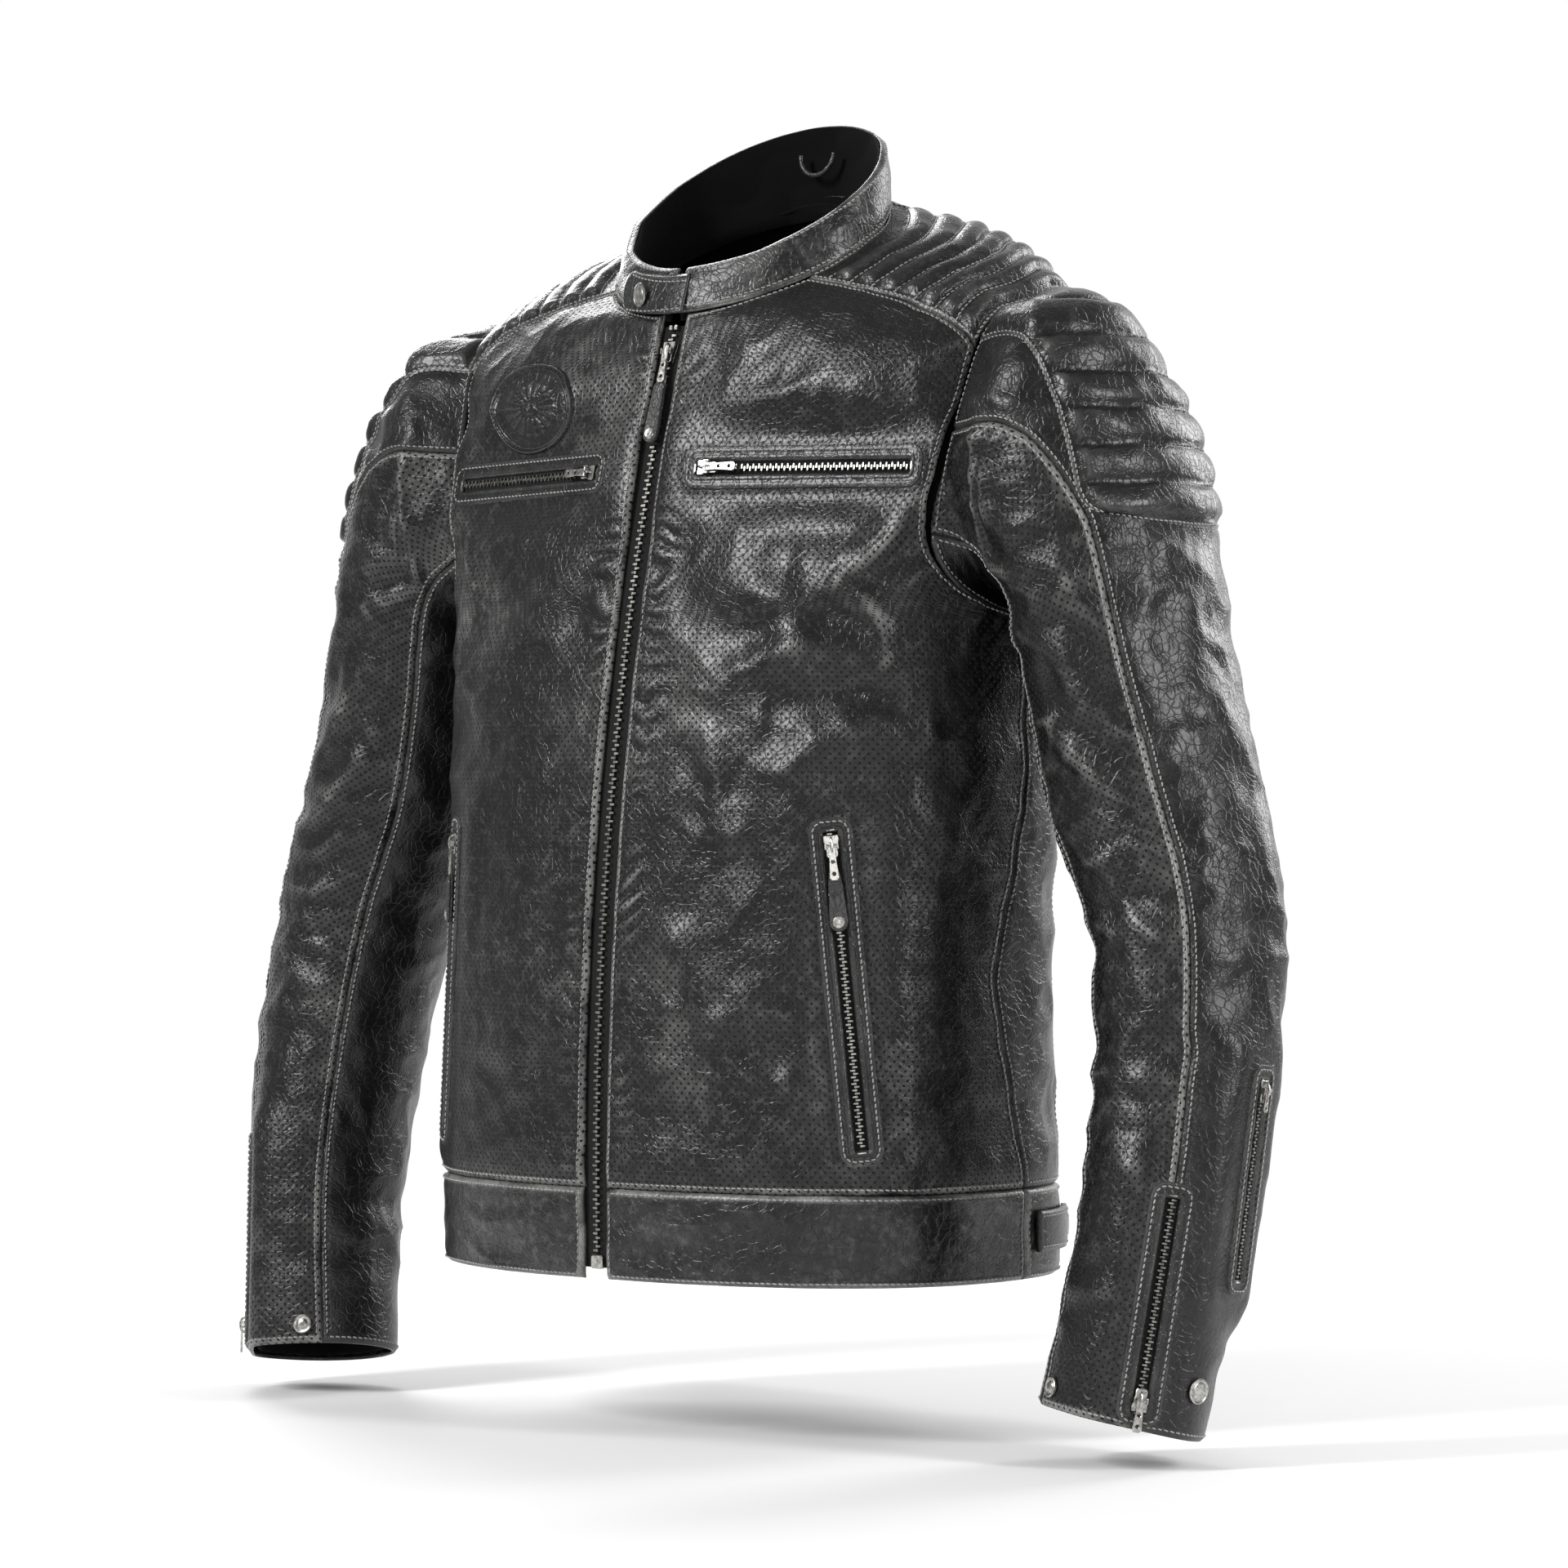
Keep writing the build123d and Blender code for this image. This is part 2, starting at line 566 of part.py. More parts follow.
# ---------------------------------------------------------------- sleeves, left then mirrored
CUT_DEG = 0.7
windows = CUFF["window"] + VENT["window"]


beyond = arm_plane * Pos(0, 0, 300 + SLEEVE_START) * Box(1600, 1600, 600)
clear_ring = arm_plane * Pos(0, 0, CLEAR_DEPTH / 2) * (Cylinder(260, CLEAR_DEPTH) - Cylinder(CLEAR_R, 2 * CLEAR_DEPTH))


def largest(shape):
    """The main solid of a shape, without the slivers a cut leaves."""
    return shape.solids().sort_by(SortBy.VOLUME)[-1]


def sleeve_panel(start, end, rings=ARM, outer=0.0, inner=LEATHER):
    """A piece of the sleeve between two angles, clear of the body at every swing."""
    count = len(rings)
    return panel(rings, [start + CUT_DEG] * count, [end - CUT_DEG] * count, outer, inner) & beyond


sleeve_outer = sleeve_panel(SEAM_FRONT, SEAM_BACK) - windows - clear_ring
sleeve_front = sleeve_panel(SEAM_INNER, SEAM_FRONT) - windows - clear_ring
sleeve_inner = sleeve_panel(SEAM_BACK + 2, SEAM_INNER + 360) - windows - clear_ring
sleeve_inner = largest(sleeve_inner - sleeve_outer - sleeve_front)
keep_pair("sleeve_outer", sleeve_outer)
keep_pair("sleeve_front", sleeve_front)
keep_pair("sleeve_inner", sleeve_inner)
keep_pair("shoulder_pad", sleeve_panel(*PAD_ANGLES, ARM[:5], -5.0, -1.0))
sleeve_lining = sleeve_panel(SEAM_BACK, SEAM_BACK + 360, ARM[5:], 11.0, 11.0 + LINING)
keep_pair("sleeve_lining", largest(sleeve_lining - sleeve_inner))

for name, parts in (("cuff", CUFF), ("vent", VENT)):
    note(name, parts)
chains = [*CUFF["chain"].solids(), *VENT["chain"].solids(), *CUFF["welt"].solids(), *VENT["welt"].solids()]
keep_pair("sleeve_zips", Compound(children=chains))
keep_pair("cuff_slider", CUFF["slider"])
keep_pair("cuff_pull", CUFF["pull"])
vent_move = Compound(children=[*VENT["slider"].solids(), *VENT["pull"].solids()])
keep_pair("vent_slider", vent_move)


def cuff_snap(angle, radius):
    here, out = sleeve_spot(-48, angle)
    return Plane(origin=here, z_dir=out) * Pos(0, 0, 3.4) * Cylinder(radius, 1.8)


snaps = [*cuff_snap(-118, 6.0).solids(), *cuff_snap(-6, SNAP_R).solids()]
keep_pair("cuff_snaps", Compound(children=snaps))

facts["swing_axis"] = [round(-v, 5) for v in ARM_NORMAL]
for name, values in facts.items():
    print(name, values)
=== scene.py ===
"""Leather riding jacket: the visible leather, quilting, zips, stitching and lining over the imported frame.

Lengths here are millimetres in the part's frame: +Z up, the wearer faces -Y, the wearer's left is +X.
Meshes are scaled to metres as they are made. The body is a surface over level (0 at the hem to 11 at
the neck) and angle (0 the left side, -90 the front). A sleeve is a surface over station (0 at the
armhole to 10 at the cuff) and angle round the arm (0 outward, -90 the front). Panels, seams and
stitches are all places on those two surfaces, so they stay together wherever the leather wrinkles.
"""

import json
import math

import bmesh
import bpy
import numpy as np
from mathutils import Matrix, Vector, noise
from mathutils.geometry import tessellate_polygon


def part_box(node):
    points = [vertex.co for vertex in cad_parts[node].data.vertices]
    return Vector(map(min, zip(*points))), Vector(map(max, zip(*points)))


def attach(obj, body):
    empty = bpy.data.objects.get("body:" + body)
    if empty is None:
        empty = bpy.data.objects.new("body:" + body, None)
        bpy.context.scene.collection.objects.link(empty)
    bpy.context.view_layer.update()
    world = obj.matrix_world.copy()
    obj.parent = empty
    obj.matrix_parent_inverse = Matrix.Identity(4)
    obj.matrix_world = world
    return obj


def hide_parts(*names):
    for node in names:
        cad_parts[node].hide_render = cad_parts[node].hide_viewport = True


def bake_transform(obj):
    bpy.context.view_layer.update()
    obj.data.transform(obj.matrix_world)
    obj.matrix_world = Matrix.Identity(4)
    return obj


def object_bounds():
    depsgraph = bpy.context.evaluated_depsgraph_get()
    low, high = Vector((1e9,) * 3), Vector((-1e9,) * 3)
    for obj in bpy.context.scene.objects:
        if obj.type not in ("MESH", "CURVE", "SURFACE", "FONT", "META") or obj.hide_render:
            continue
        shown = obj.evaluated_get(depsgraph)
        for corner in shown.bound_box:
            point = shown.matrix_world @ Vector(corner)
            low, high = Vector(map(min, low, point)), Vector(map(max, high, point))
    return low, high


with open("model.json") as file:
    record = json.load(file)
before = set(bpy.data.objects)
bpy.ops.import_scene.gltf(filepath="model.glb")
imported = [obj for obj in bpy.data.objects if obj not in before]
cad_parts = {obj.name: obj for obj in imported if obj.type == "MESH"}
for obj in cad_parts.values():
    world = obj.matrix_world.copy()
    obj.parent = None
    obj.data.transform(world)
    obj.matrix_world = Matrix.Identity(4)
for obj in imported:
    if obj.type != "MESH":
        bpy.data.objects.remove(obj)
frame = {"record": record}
CAD_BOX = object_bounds()
JOINTS = {joint["name"]: joint for joint in frame["record"]["behaviour"]["joints"]}
MM = 0.001

# ------------------------------------------------------------------ driving sizes
LEATHER = 2.0
STITCH_PITCH, STITCH_LENGTH, STITCH_R = 3.6, 2.6, 0.45
SEAM_MARGIN = 4.0           # from a seam to its row of stitches
GRID = 2.4                  # spacing of the panels' vertices
WAISTBAND = 54.0            # height of the waistband
ZIP_EDGE = 9.0              # from the centre plane to the leather beside the centre zip
FRONT_Y, FRONT_Z, FRONT_R = 1691.6, 63.2, 1831.7    # centre and radius of the arc of the front edge

# front z, back y, back z, half width, squareness
BODY_RINGS = np.array([
    (0, 140, 0, 198, 2.4), (54, 139, 54, 199, 2.4), (120, 138, 120, 197, 2.4), (215, 134, 215, 198, 2.4),
    (320, 131, 320, 203, 2.5), (400, 128, 402, 209, 2.6), (465, 125, 470, 212, 2.8), (518, 121, 530, 213, 2.8),
    (540, 113, 583, 214, 2.5), (556, 98, 622, 190, 2.2), (565, 86, 642, 148, 2.1), (572, 76, 655, 88, 2.0),
])
COLLAR_RINGS = np.array([(572, 76, 655, 88, 2.0), (586, 77, 676, 85, 2.0), (600, 76, 696, 82, 2.0)])
ARM_CENTRE = np.array([194.0, 12.0, 500.0])
LEAN = math.radians(7)
ARM_NORMAL = np.array([math.cos(LEAN), 0, -math.sin(LEAN)])
ARM_UP = np.array([math.sin(LEAN), 0, math.cos(LEAN)])
# outer x, z, inner x, z, half width front to back
CAP_RINGS = [(250, 572, 195, 401, 77), (284, 532, 205, 396, 79), (306, 482, 213, 389, 78), (322, 428, 219, 368, 75),
             (334, 370, 226, 334, 70)]
CAP_Y = 12.5
# centre x, y, z, half width outward, half width front to back
SLEEVE_RINGS = [(298, 10, 286, 60, 64), (325, 5, 206, 55, 59), (333, -12, 110, 51, 54), (329, -29, 25, 48, 50),
                (315, -46, -70, 49, 45)]
# Angles of the seams along a sleeve; the front one is in seam_front.
SEAM_INNER, SEAM_BACK = -132.0, 105.0


# ------------------------------------------------------------------ small maths
def catmull(p0, p1, p2, p3, f):
    """Catmull-Rom from p1 to p2."""
    return 0.5 * (2 * p1 + (p2 - p0) * f + (2 * p0 - 5 * p1 + 4 * p2 - p3) * f**2 + (3 * p1 - p0 - 3 * p2 + p3)
                  * f**3)


def spline(table, t):
    """A smooth curve through the rows of a table at t, in rows."""
    table = np.asarray(table, float)
    t = np.clip(np.asarray(t, float), 0, len(table) - 1.000001)
    i = np.floor(t).astype(int)
    f = (t - i).reshape(t.shape + (1,) * (table.ndim - 1))
    return catmull(*(table[np.clip(i + k, 0, len(table) - 1)] for k in (-1, 0, 1, 2)), f)


def pair(u, v):
    """Two surface coordinates as arrays of one shape."""
    return np.broadcast_arrays(np.asarray(u, float), np.asarray(v, float))


def run_along(curve):
    """Distance of each point of a curve from its first one, along the curve."""
    return np.concatenate([[0], np.cumsum(np.linalg.norm(np.diff(curve, axis=0), axis=1))])


def box_mm(node):
    """The low and high corners of a CAD node's box."""
    return [np.array(corner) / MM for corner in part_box(node)]


def smooth(x):
    x = np.clip(x, 0, 1)
    return x * x * (3 - 2 * x)


def bell(x, at, width):
    """1 where x is at the middle, falling off on both sides over about this width."""
    return np.exp(-(((x - at) / width) ** 2))


def unit(v):
    return v / np.maximum(np.linalg.norm(v, axis=-1, keepdims=True), 1e-9)


def grain(points, size, seed=0.0):
    """Smooth noise from -1 to 1 at each point, with features of about this size."""
    q = points.reshape(-1, 3) / size + seed
    return np.array([noise.noise(Vector(p)) for p in q]).reshape(points.shape[:-1])


def creases(points, size, seed=0.0):
    """Rounded ridges between narrow valleys, 0 in a valley to about 1."""
    return 1 - np.abs(grain(points, size, seed)) * 2.6


def wrap(angle):
    return (np.asarray(angle, float) + 180) % 360 - 180


def front_y(z):
    return FRONT_Y - np.sqrt(FRONT_R**2 - (z - FRONT_Z) ** 2)


# ------------------------------------------------------------------ the body's surface
def ring_point(values, angle, inset=0.0):
    """Points on tilted superellipses given by rows of ring values."""
    fz, back_y, back_z, a, n = np.moveaxis(values, -1, 0)
    fy = front_y(fz)
    yc, zc = (fy + back_y) / 2, (fz + back_z) / 2
    b = np.hypot(back_y - fy, back_z - fz) / 2 - inset
    tilt = np.arctan2(back_z - fz, back_y - fy)
    c, s = np.cos(np.radians(angle)), np.sin(np.radians(angle))
    x = np.sign(c) * np.abs(c) ** (2 / n) * (a - inset)
    w = np.sign(s) * np.abs(s) ** (2 / n) * b
    return np.stack([x, yc + w * np.cos(tilt), zc + w * np.sin(tilt)], -1)


def body_base(level, angle):
    level, angle = pair(level, angle)
    return ring_point(spline(BODY_RINGS, level), angle)


def angle_at(level, x):
    """The angle on the front left where the body is x from the centre plane."""
    values = spline(BODY_RINGS, level)
    return -np.degrees(np.arccos((x / values[..., 3]) ** (values[..., 4] / 2)))


def level_at(z):
    """The level whose front point is at height z."""
    fine = np.linspace(0, 11, 1101)
    return np.interp(z, spline(BODY_RINGS, fine)[:, 0], fine)


def zip_frame(name, side):
    """A pocket or sleeve zip from its joints: origin, axes along, across and out, and its length."""
    slide, turn = JOINTS[f"{name}_zip_{side}"], JOINTS.get(f"{name}_pull_turn_{side}")
    along = unit(np.array(slide["axis"], float))
    if turn is None:
        low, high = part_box(f"{name}_slider_{side}")
        pivot = (np.array(low) + np.array(high)) / 2 / MM
        across = unit(np.cross([math.copysign(1, pivot[0]), 0.16, -0.1], along)) * (1 if side == "left" else -1)
        pull_side = 1
    else:
        pivot = np.array(turn["pos_m"], float) / MM
        pull_side = -1 if name == "cuff" else 1
        across = -np.array(turn["axis"], float) * pull_side
    out = unit(np.cross(along, across))
    if out @ (pivot - ARM_CENTRE * [math.copysign(1, pivot[0]) if name in ("cuff", "vent") else 0, 1, 0]) < 0:
        out = -out
    return {"along": along, "across": np.cross(out, along), "out": out, "pivot": pivot, "pull": pull_side,
            "travel": slide["range_m"][1] / MM}


BRIDGE = 4.1 + 1.0          # from a zip's tape to the axis its pull turns on
SLIDER_AT = {"chest": 9.0, "hand": 10.0, "cuff": 8.0, "vent": 8.0}


def place_zip(name, side):
    z = zip_frame(name, side)
    z["name"], z["side"] = name, side
    z["length"] = z["travel"] + 2 * SLIDER_AT[name]
    rise = BRIDGE if name != "vent" else 1.6
    start = z["pivot"] - z["along"] * (SLIDER_AT[name] if name != "vent" else SLIDER_AT[name] + 7)
    z["origin"] = start - z["out"] * rise
    return z


ZIPS = {(n, s): place_zip(n, s) for n in ("chest", "hand", "cuff", "vent") for s in ("left", "right")}


def flatten(points, zips, lift=0.0):
    """Lays the leather flat beside each zip, and takes it down behind the tape inside the opening."""
    for z in zips:
        local = points - z["origin"]
        x, y, up = local @ z["along"], local @ z["across"], local @ z["out"]
        gap = np.hypot(np.maximum(np.maximum(-8 - x, x - z["length"] - 8), 0), np.maximum(np.abs(y) - 16, 0))
        keep = (1 - smooth(gap / 30)) * (np.abs(up) < 40)
        inside = smooth((6.5 - np.abs(y)) / 2) * smooth((x + 3) / 2) * smooth((z["length"] + 3 - x) / 2)
        beside = np.hypot(np.maximum(np.maximum(-x, x - z["length"]), 0), np.maximum(np.abs(y) - 5, 0))
        rim = 1.1 * bell(beside, 5.5, 4)
        target = 0.5 + rim - 4.0 * inside + lift
        points = points + ((target - up) * keep)[..., None] * z["out"]
    return points


# Folds of the body: level, angle at each end of the ridge, its width and its height in mm.
BODY_FOLDS = [
    ((5.9, -37), (5.15, -52), 8, 4.2), ((5.1, -53), (4.55, -38), 8, 4.6), ((5.15, -74), (4.45, -57), 16, 4.5),
    ((4.3, -77), (4.5, -40), 12, 5.0), ((4.2, -62), (4.05, -30), 10, -4.0), ((4.0, -77), (3.6, -71), 9, 3.6),
    ((3.5, -68), (4.0, -27), 12, 4.6), ((3.2, -60), (3.75, -22), 13, -3.0), ((2.9, -81), (2.35, -69), 11, 2.8),
    ((1.9, -71), (2.75, -55), 13, 3.2), ((1.6, -60), (2.5, -47), 10, -2.0), ((3.1, -20), (3.9, -6), 14, 2.5),
    ((6.8, -40), (6.1, -33), 9, 2.0), ((5.6, -24), (4.6, -16), 9, 3.0),
    ((5.2, -100), (4.4, -128), 18, 2.5), ((4.2, -104), (4.6, -140), 14, 3.0), ((3.4, -110), (3.9, -150), 16, 2.4),
    ((2.6, -100), (2.0, -120), 14, 1.8), ((5.9, -144), (5.0, -128), 9, 3.5), ((3.0, -158), (3.9, -170), 14, 2.4),
    ((6.2, 60), (5.0, 90), 16, 3.5), ((5.6, 120), (4.6, 92), 16, 3.5), ((3.4, 50), (2.8, 86), 18, 3.2),
    ((2.9, 128), (2.3, 96), 18, 3.0), ((2.0, 60), (1.7, 100), 14, 2.2), ((4.2, 55), (3.7, 80), 14, 2.6),
    ((6.9, 66), (7.5, 84), 18, 2.2), ((7.0, 118), (7.4, 96), 16, 2.2),
]


def ridge_lines(folds, u, v, scale_u, scale_v):
    """Adds up folds given by their two ends on a surface whose coordinates have these scales in mm."""
    total = np.zeros(np.shape(u))
    for (u0, v0), (u1, v1), width, height in folds:
        ax, ay = u0 * scale_u, v0 * scale_v
        bx, by = u1 * scale_u - ax, v1 * scale_v - ay
        px, py = u * scale_u - ax, v * scale_v - ay
        length = math.hypot(bx, by)
        t = np.clip((px * bx + py * by) / length**2, 0, 1)
        bow = 0.12 * length * np.sin(np.pi * t)
        distance = np.hypot(px - t * bx - bow * by / length, py - t * by + bow * bx / length)
        ends = 0.35 + 0.65 * np.sin(np.pi * np.clip(t, 0.02, 0.98))
        total += height * ends * (bell(distance, 0, width) - 0.35 * np.exp(-((distance / width / 2.1) ** 2)))
    return total


def body_relief(level, angle, points):
    """How far the leather stands out from its plain surface."""
    angle = wrap(angle)
    drape = 1.3 * ridge_lines(BODY_FOLDS, level, angle, 75.0, 3.1)
    stretched = points * np.array([1.0, 1.0, 1.5])
    drape += 1.5 * (creases(stretched, 62, 3.1) - 0.5) + 0.55 * (creases(points, 21, 7.7) - 0.5)
    x = np.abs(points[..., 0])
    front = np.abs(angle + 90) < 60
    pucker = bell(x, 22, 8) * np.sin(points[..., 2] / 2.0 + 7.5 * grain(points, 30, 1.3))
    calm = smooth((x - ZIP_EDGE - 3) / 30) * smooth((level - 0.95) / 0.5) * smooth((11.2 - level) / 1.2)
    drape = np.where(front, drape * np.maximum(calm, 0.25), drape * np.maximum(smooth((level - 0.95) / 0.5), 0.1))
    strength = smooth((level - 1.0) / 0.3) * smooth((10.6 - level) / 0.5) * (0.45 + 0.9 * grain(points, 45, 8.8))
    return drape - np.where(front, 1.5 * pucker * strength, 0)


def surface_normal(base, u, v, du, dv, flip=1.0):
    a = base(u, v + dv) - base(u, v - dv)
    b = base(u + du, v) - base(u - du, v)
    return unit(np.cross(a, b)) * flip


def body_normal(level, angle):
    level = np.clip(level, 0.02, 10.98)
    return surface_normal(body_base, level, angle, 0.02, 0.6)


BODY_ZIPS = [z for (n, s), z in ZIPS.items() if n in ("chest", "hand")]


def body_skin(level, angle, lift=0.0):
    """Points on the finished leather of the body, lifted off it, and the outward directions."""
    level, angle = pair(level, angle)
    base, normal = body_base(level, angle), body_normal(level, angle)
    points = base + normal * body_relief(level, angle, base)[..., None]
    points = flatten(points, BODY_ZIPS)
    return points + normal * np.asarray(lift)[..., None], normal


# ------------------------------------------------------------------ the armhole and the sleeve's surface
def plane_angle(level, front):
    """The angle where a level crosses the armhole's plane, on the front or the back."""
    low, high = (-89.0, 10.0) if front else (89.0, 10.0)
    for _ in range(40):
        mid = (low + high) / 2
        if (body_base(level, mid) - ARM_CENTRE) @ ARM_NORMAL < 0:
            low = mid
        else:
            high = mid
    return mid


ARM_LOW, ARM_TURN, ARM_TOP = 4.78, 5.55, 8.42   # levels of the armhole: its bottom, where it rounds, its top
ARM_MIDDLE = 15.0                               # the angle of its lowest point


def armhole_side(front):
    """Levels and angles up one side of the armhole, from the bottom to the top."""
    levels = np.concatenate([ARM_LOW + (ARM_TURN - ARM_LOW) * (1 - np.cos(np.linspace(0, np.pi / 2, 12)))[:-1],
                             np.linspace(ARM_TURN, ARM_TOP, 26)])
    hit = np.array([plane_angle(max(v, ARM_TURN), front) for v in levels])
    share = np.sqrt(np.clip(1 - ((ARM_TURN - levels) / (ARM_TURN - ARM_LOW)) ** 2, 0, 1))
    share[levels >= ARM_TURN] = 1
    return levels, ARM_MIDDLE + (hit - ARM_MIDDLE) * share


ARM_FRONT, ARM_BACK = armhole_side(True), armhole_side(False)


def armhole_angle(level, front=True):
    """The angle of the armhole's edge at a level."""
    levels, angles = ARM_FRONT if front else ARM_BACK
    return np.interp(level, levels, angles)


def armhole_ring():
    """The armhole as a closed curve over the angle round the arm, every 5 degrees."""
    lv = np.concatenate([ARM_FRONT[0], ARM_BACK[0][::-1]])
    an = np.concatenate([ARM_FRONT[1], ARM_BACK[1][::-1]])
    curve = body_base(lv, an)
    offset = curve - ARM_CENTRE
    around = np.degrees(np.arctan2(offset[:, 1], offset @ ARM_UP))
    order = np.argsort(around)
    around, curve = around[order], curve[order]
    around = np.concatenate([around - 360, around, around + 360])
    curve = np.concatenate([curve] * 3)
    grid = np.arange(-180, 181, 5.0)
    smoothed = np.stack([np.interp(grid, around, curve[:, k]) for k in range(3)], -1)
    for _ in range(2):
        inner = smoothed[:-1]
        inner = (np.roll(inner, 1, 0) + 2 * inner + np.roll(inner, -1, 0)) / 4
        smoothed = np.concatenate([inner, inner[:1]])
    return smoothed


ARMHOLE = armhole_ring()


def sleeve_rings():
    """Centre, outward reach and backward reach of each ring below the armhole."""
    rings = []
    for x0, z0, x1, z1, depth in CAP_RINGS:
        outer, inner = np.array([x0, CAP_Y, z0], float), np.array([x1, CAP_Y, z1], float)
        rings.append(((outer + inner) / 2, (outer - inner) / 2, np.array([0, depth, 0.0])))
    centres = [rings[-1][0]] + [np.array(row[:3], float) for row in SLEEVE_RINGS]
    for i, row in enumerate(SLEEVE_RINGS, start=1):
        along = unit(centres[min(i + 1, len(centres) - 1)] - centres[i - 1])
        back = unit(np.array([0, 1.0, 0]) - along * along[1])
        out = unit(np.cross(back, along))
        out = out if out[0] > 0 else -out
        rings.append((centres[i], out * row[3], back * row[4]))
    return rings


ARM = sleeve_rings()
STATIONS = len(ARM)


def sleeve_base(station, angle):
    """The left sleeve's plain surface."""
    station, angle = pair(station, angle)
    angle = wrap(angle)
    c, s = np.cos(np.radians(angle))[..., None], np.sin(np.radians(angle))[..., None]
    i = (angle + 180) / 5
    low = np.clip(np.floor(i).astype(int), 0, len(ARMHOLE) - 2)
    f = (i - low)[..., None]
    rows = [ARMHOLE[low] * (1 - f) + ARMHOLE[low + 1] * f]
    rows += [centre + out * c + back * s for centre, out, back in ARM]
    rows = np.stack(rows)
    t = np.clip(station, 0, STATIONS - 1e-6)
    k = np.floor(t).astype(int)
    g = (t - k)[..., None]

    def row(j):
        j = np.clip(j, 0, STATIONS)
        return np.take_along_axis(rows, j[None, ..., None], 0)[0]

    return catmull(*(row(k + n) for n in (-1, 0, 1, 2)), g)


def sleeve_normal(station, angle):
    station = np.clip(station, 0.03, STATIONS - 0.03)
    return surface_normal(sleeve_base, station, angle, 0.02, 0.8, -1.0)


# Folds of a sleeve: station, angle at each end of the ridge, its width and its height in mm.
SLEEVE_FOLDS = [
    ((0.6, -75), (3.0, -95), 8, 4.0), ((1.4, -110), (3.6, -100), 8, 4.5), ((1.2, -92), (3.2, -108), 5, -3.0),
    ((3.6, -72), (5.0, -40), 11, 3.6), ((4.6, -85), (5.8, -55), 9, 3.4), ((5.2, -110), (6.0, -72), 9, 3.8),
    ((5.6, -95), (6.3, -58), 7, 3.2), ((6.0, -125), (6.7, -80), 9, 3.4), ((6.6, -100), (7.2, -62), 8, 2.8),
    ((7.2, -90), (7.6, -55), 8, 2.2), ((5.0, -10), (6.2, 30), 12, 2.6), ((4.2, 20), (5.4, -20), 12, 2.4),
    ((6.4, 10), (7.4, 40), 11, 2.2), ((5.4, 100), (6.2, 60), 10, 3.6), ((5.9, 120), (6.6, 70), 9, 3.4),
    ((6.5, 110), (7.3, 76), 9, 2.8), ((5.5, 170), (6.1, 130), 9, 3.6), ((6.2, 175), (6.8, 135), 9, 3.0),
    ((3.8, 120), (4.8, 80), 12, 3.2), ((1.5, 130), (3.2, 108), 10, 4.0), ((2.0, 160), (3.6, 140), 9, 4.0),
    ((7.5, 120), (8.2, 70), 9, 2.4), ((7.8, -40), (8.4, -10), 9, 1.6), ((3.2, -150), (4.4, -120), 9, 3.0),
]


def sleeve_relief(station, angle, points, side):
    angle = wrap(angle)
    shift = 0.0 if side == "left" else 0.22
    drape = ridge_lines(SLEEVE_FOLDS, station - shift, angle, 78.0, 1.05)
    along = points * np.array([1.0, 1.0, 1.9])
    seed = 11.3 if side == "left" else 23.9
    drape += 1.7 * (creases(along, 52, seed) - 0.5) + 0.6 * (creases(points, 19, seed + 3) - 0.5)
    return drape * smooth(station / 0.7) * np.maximum(smooth((STATIONS - 0.12 - station) / 0.6), 0.15)


SLEEVE_ZIPS = [ZIPS["cuff", "left"], ZIPS["vent", "left"]]


def sleeve_skin(station, angle, side="left", lift=0.0):
    """Points on the finished leather of the left sleeve, whose wrinkles are those of the side given."""
    station, angle = pair(station, angle)
    base, normal = sleeve_base(station, angle), sleeve_normal(station, angle)
    points = base + normal * sleeve_relief(station, angle, base, side)[..., None]
    points = flatten(points, SLEEVE_ZIPS)
    return points + normal * np.asarray(lift)[..., None], normal


# ------------------------------------------------------------------ mesh building
def make_object(name, verts, faces, material, uv=None):
    """A smooth mesh object from points in mm and quads (or a list of any faces)."""
    mesh = bpy.data.meshes.new(name)
    verts = np.asarray(verts, float).reshape(-1, 3) * MM
    if isinstance(faces, np.ndarray):
        mesh.vertices.add(len(verts))
        mesh.vertices.foreach_set("co", verts.ravel())
        mesh.loops.add(faces.size)
        mesh.loops.foreach_set("vertex_index", faces.ravel().astype(np.int32))
        mesh.polygons.add(len(faces))
        mesh.polygons.foreach_set("loop_start", np.arange(0, faces.size, faces.shape[1], dtype=np.int32))
        mesh.update(calc_edges=True)
    else:
        mesh.from_pydata(verts.tolist(), [], faces)
    if uv is not None:
        layer = mesh.uv_layers.new(name="UVMap")
        layer.data.foreach_set("uv", (np.asarray(uv).reshape(-1, 2)[faces.ravel()] * MM).ravel())
    mesh.polygons.foreach_set("use_smooth", [True] * len(mesh.polygons))
    mesh.materials.append(material)
    obj = bpy.data.objects.new(name, mesh)
    bpy.context.scene.collection.objects.link(obj)
    return obj


def quads(rows, cols):
    i = np.arange(rows * cols).reshape(rows, cols)
    return np.stack([i[:-1, :-1], i[:-1, 1:], i[1:, 1:], i[1:, :-1]], -1).reshape(-1, 4)


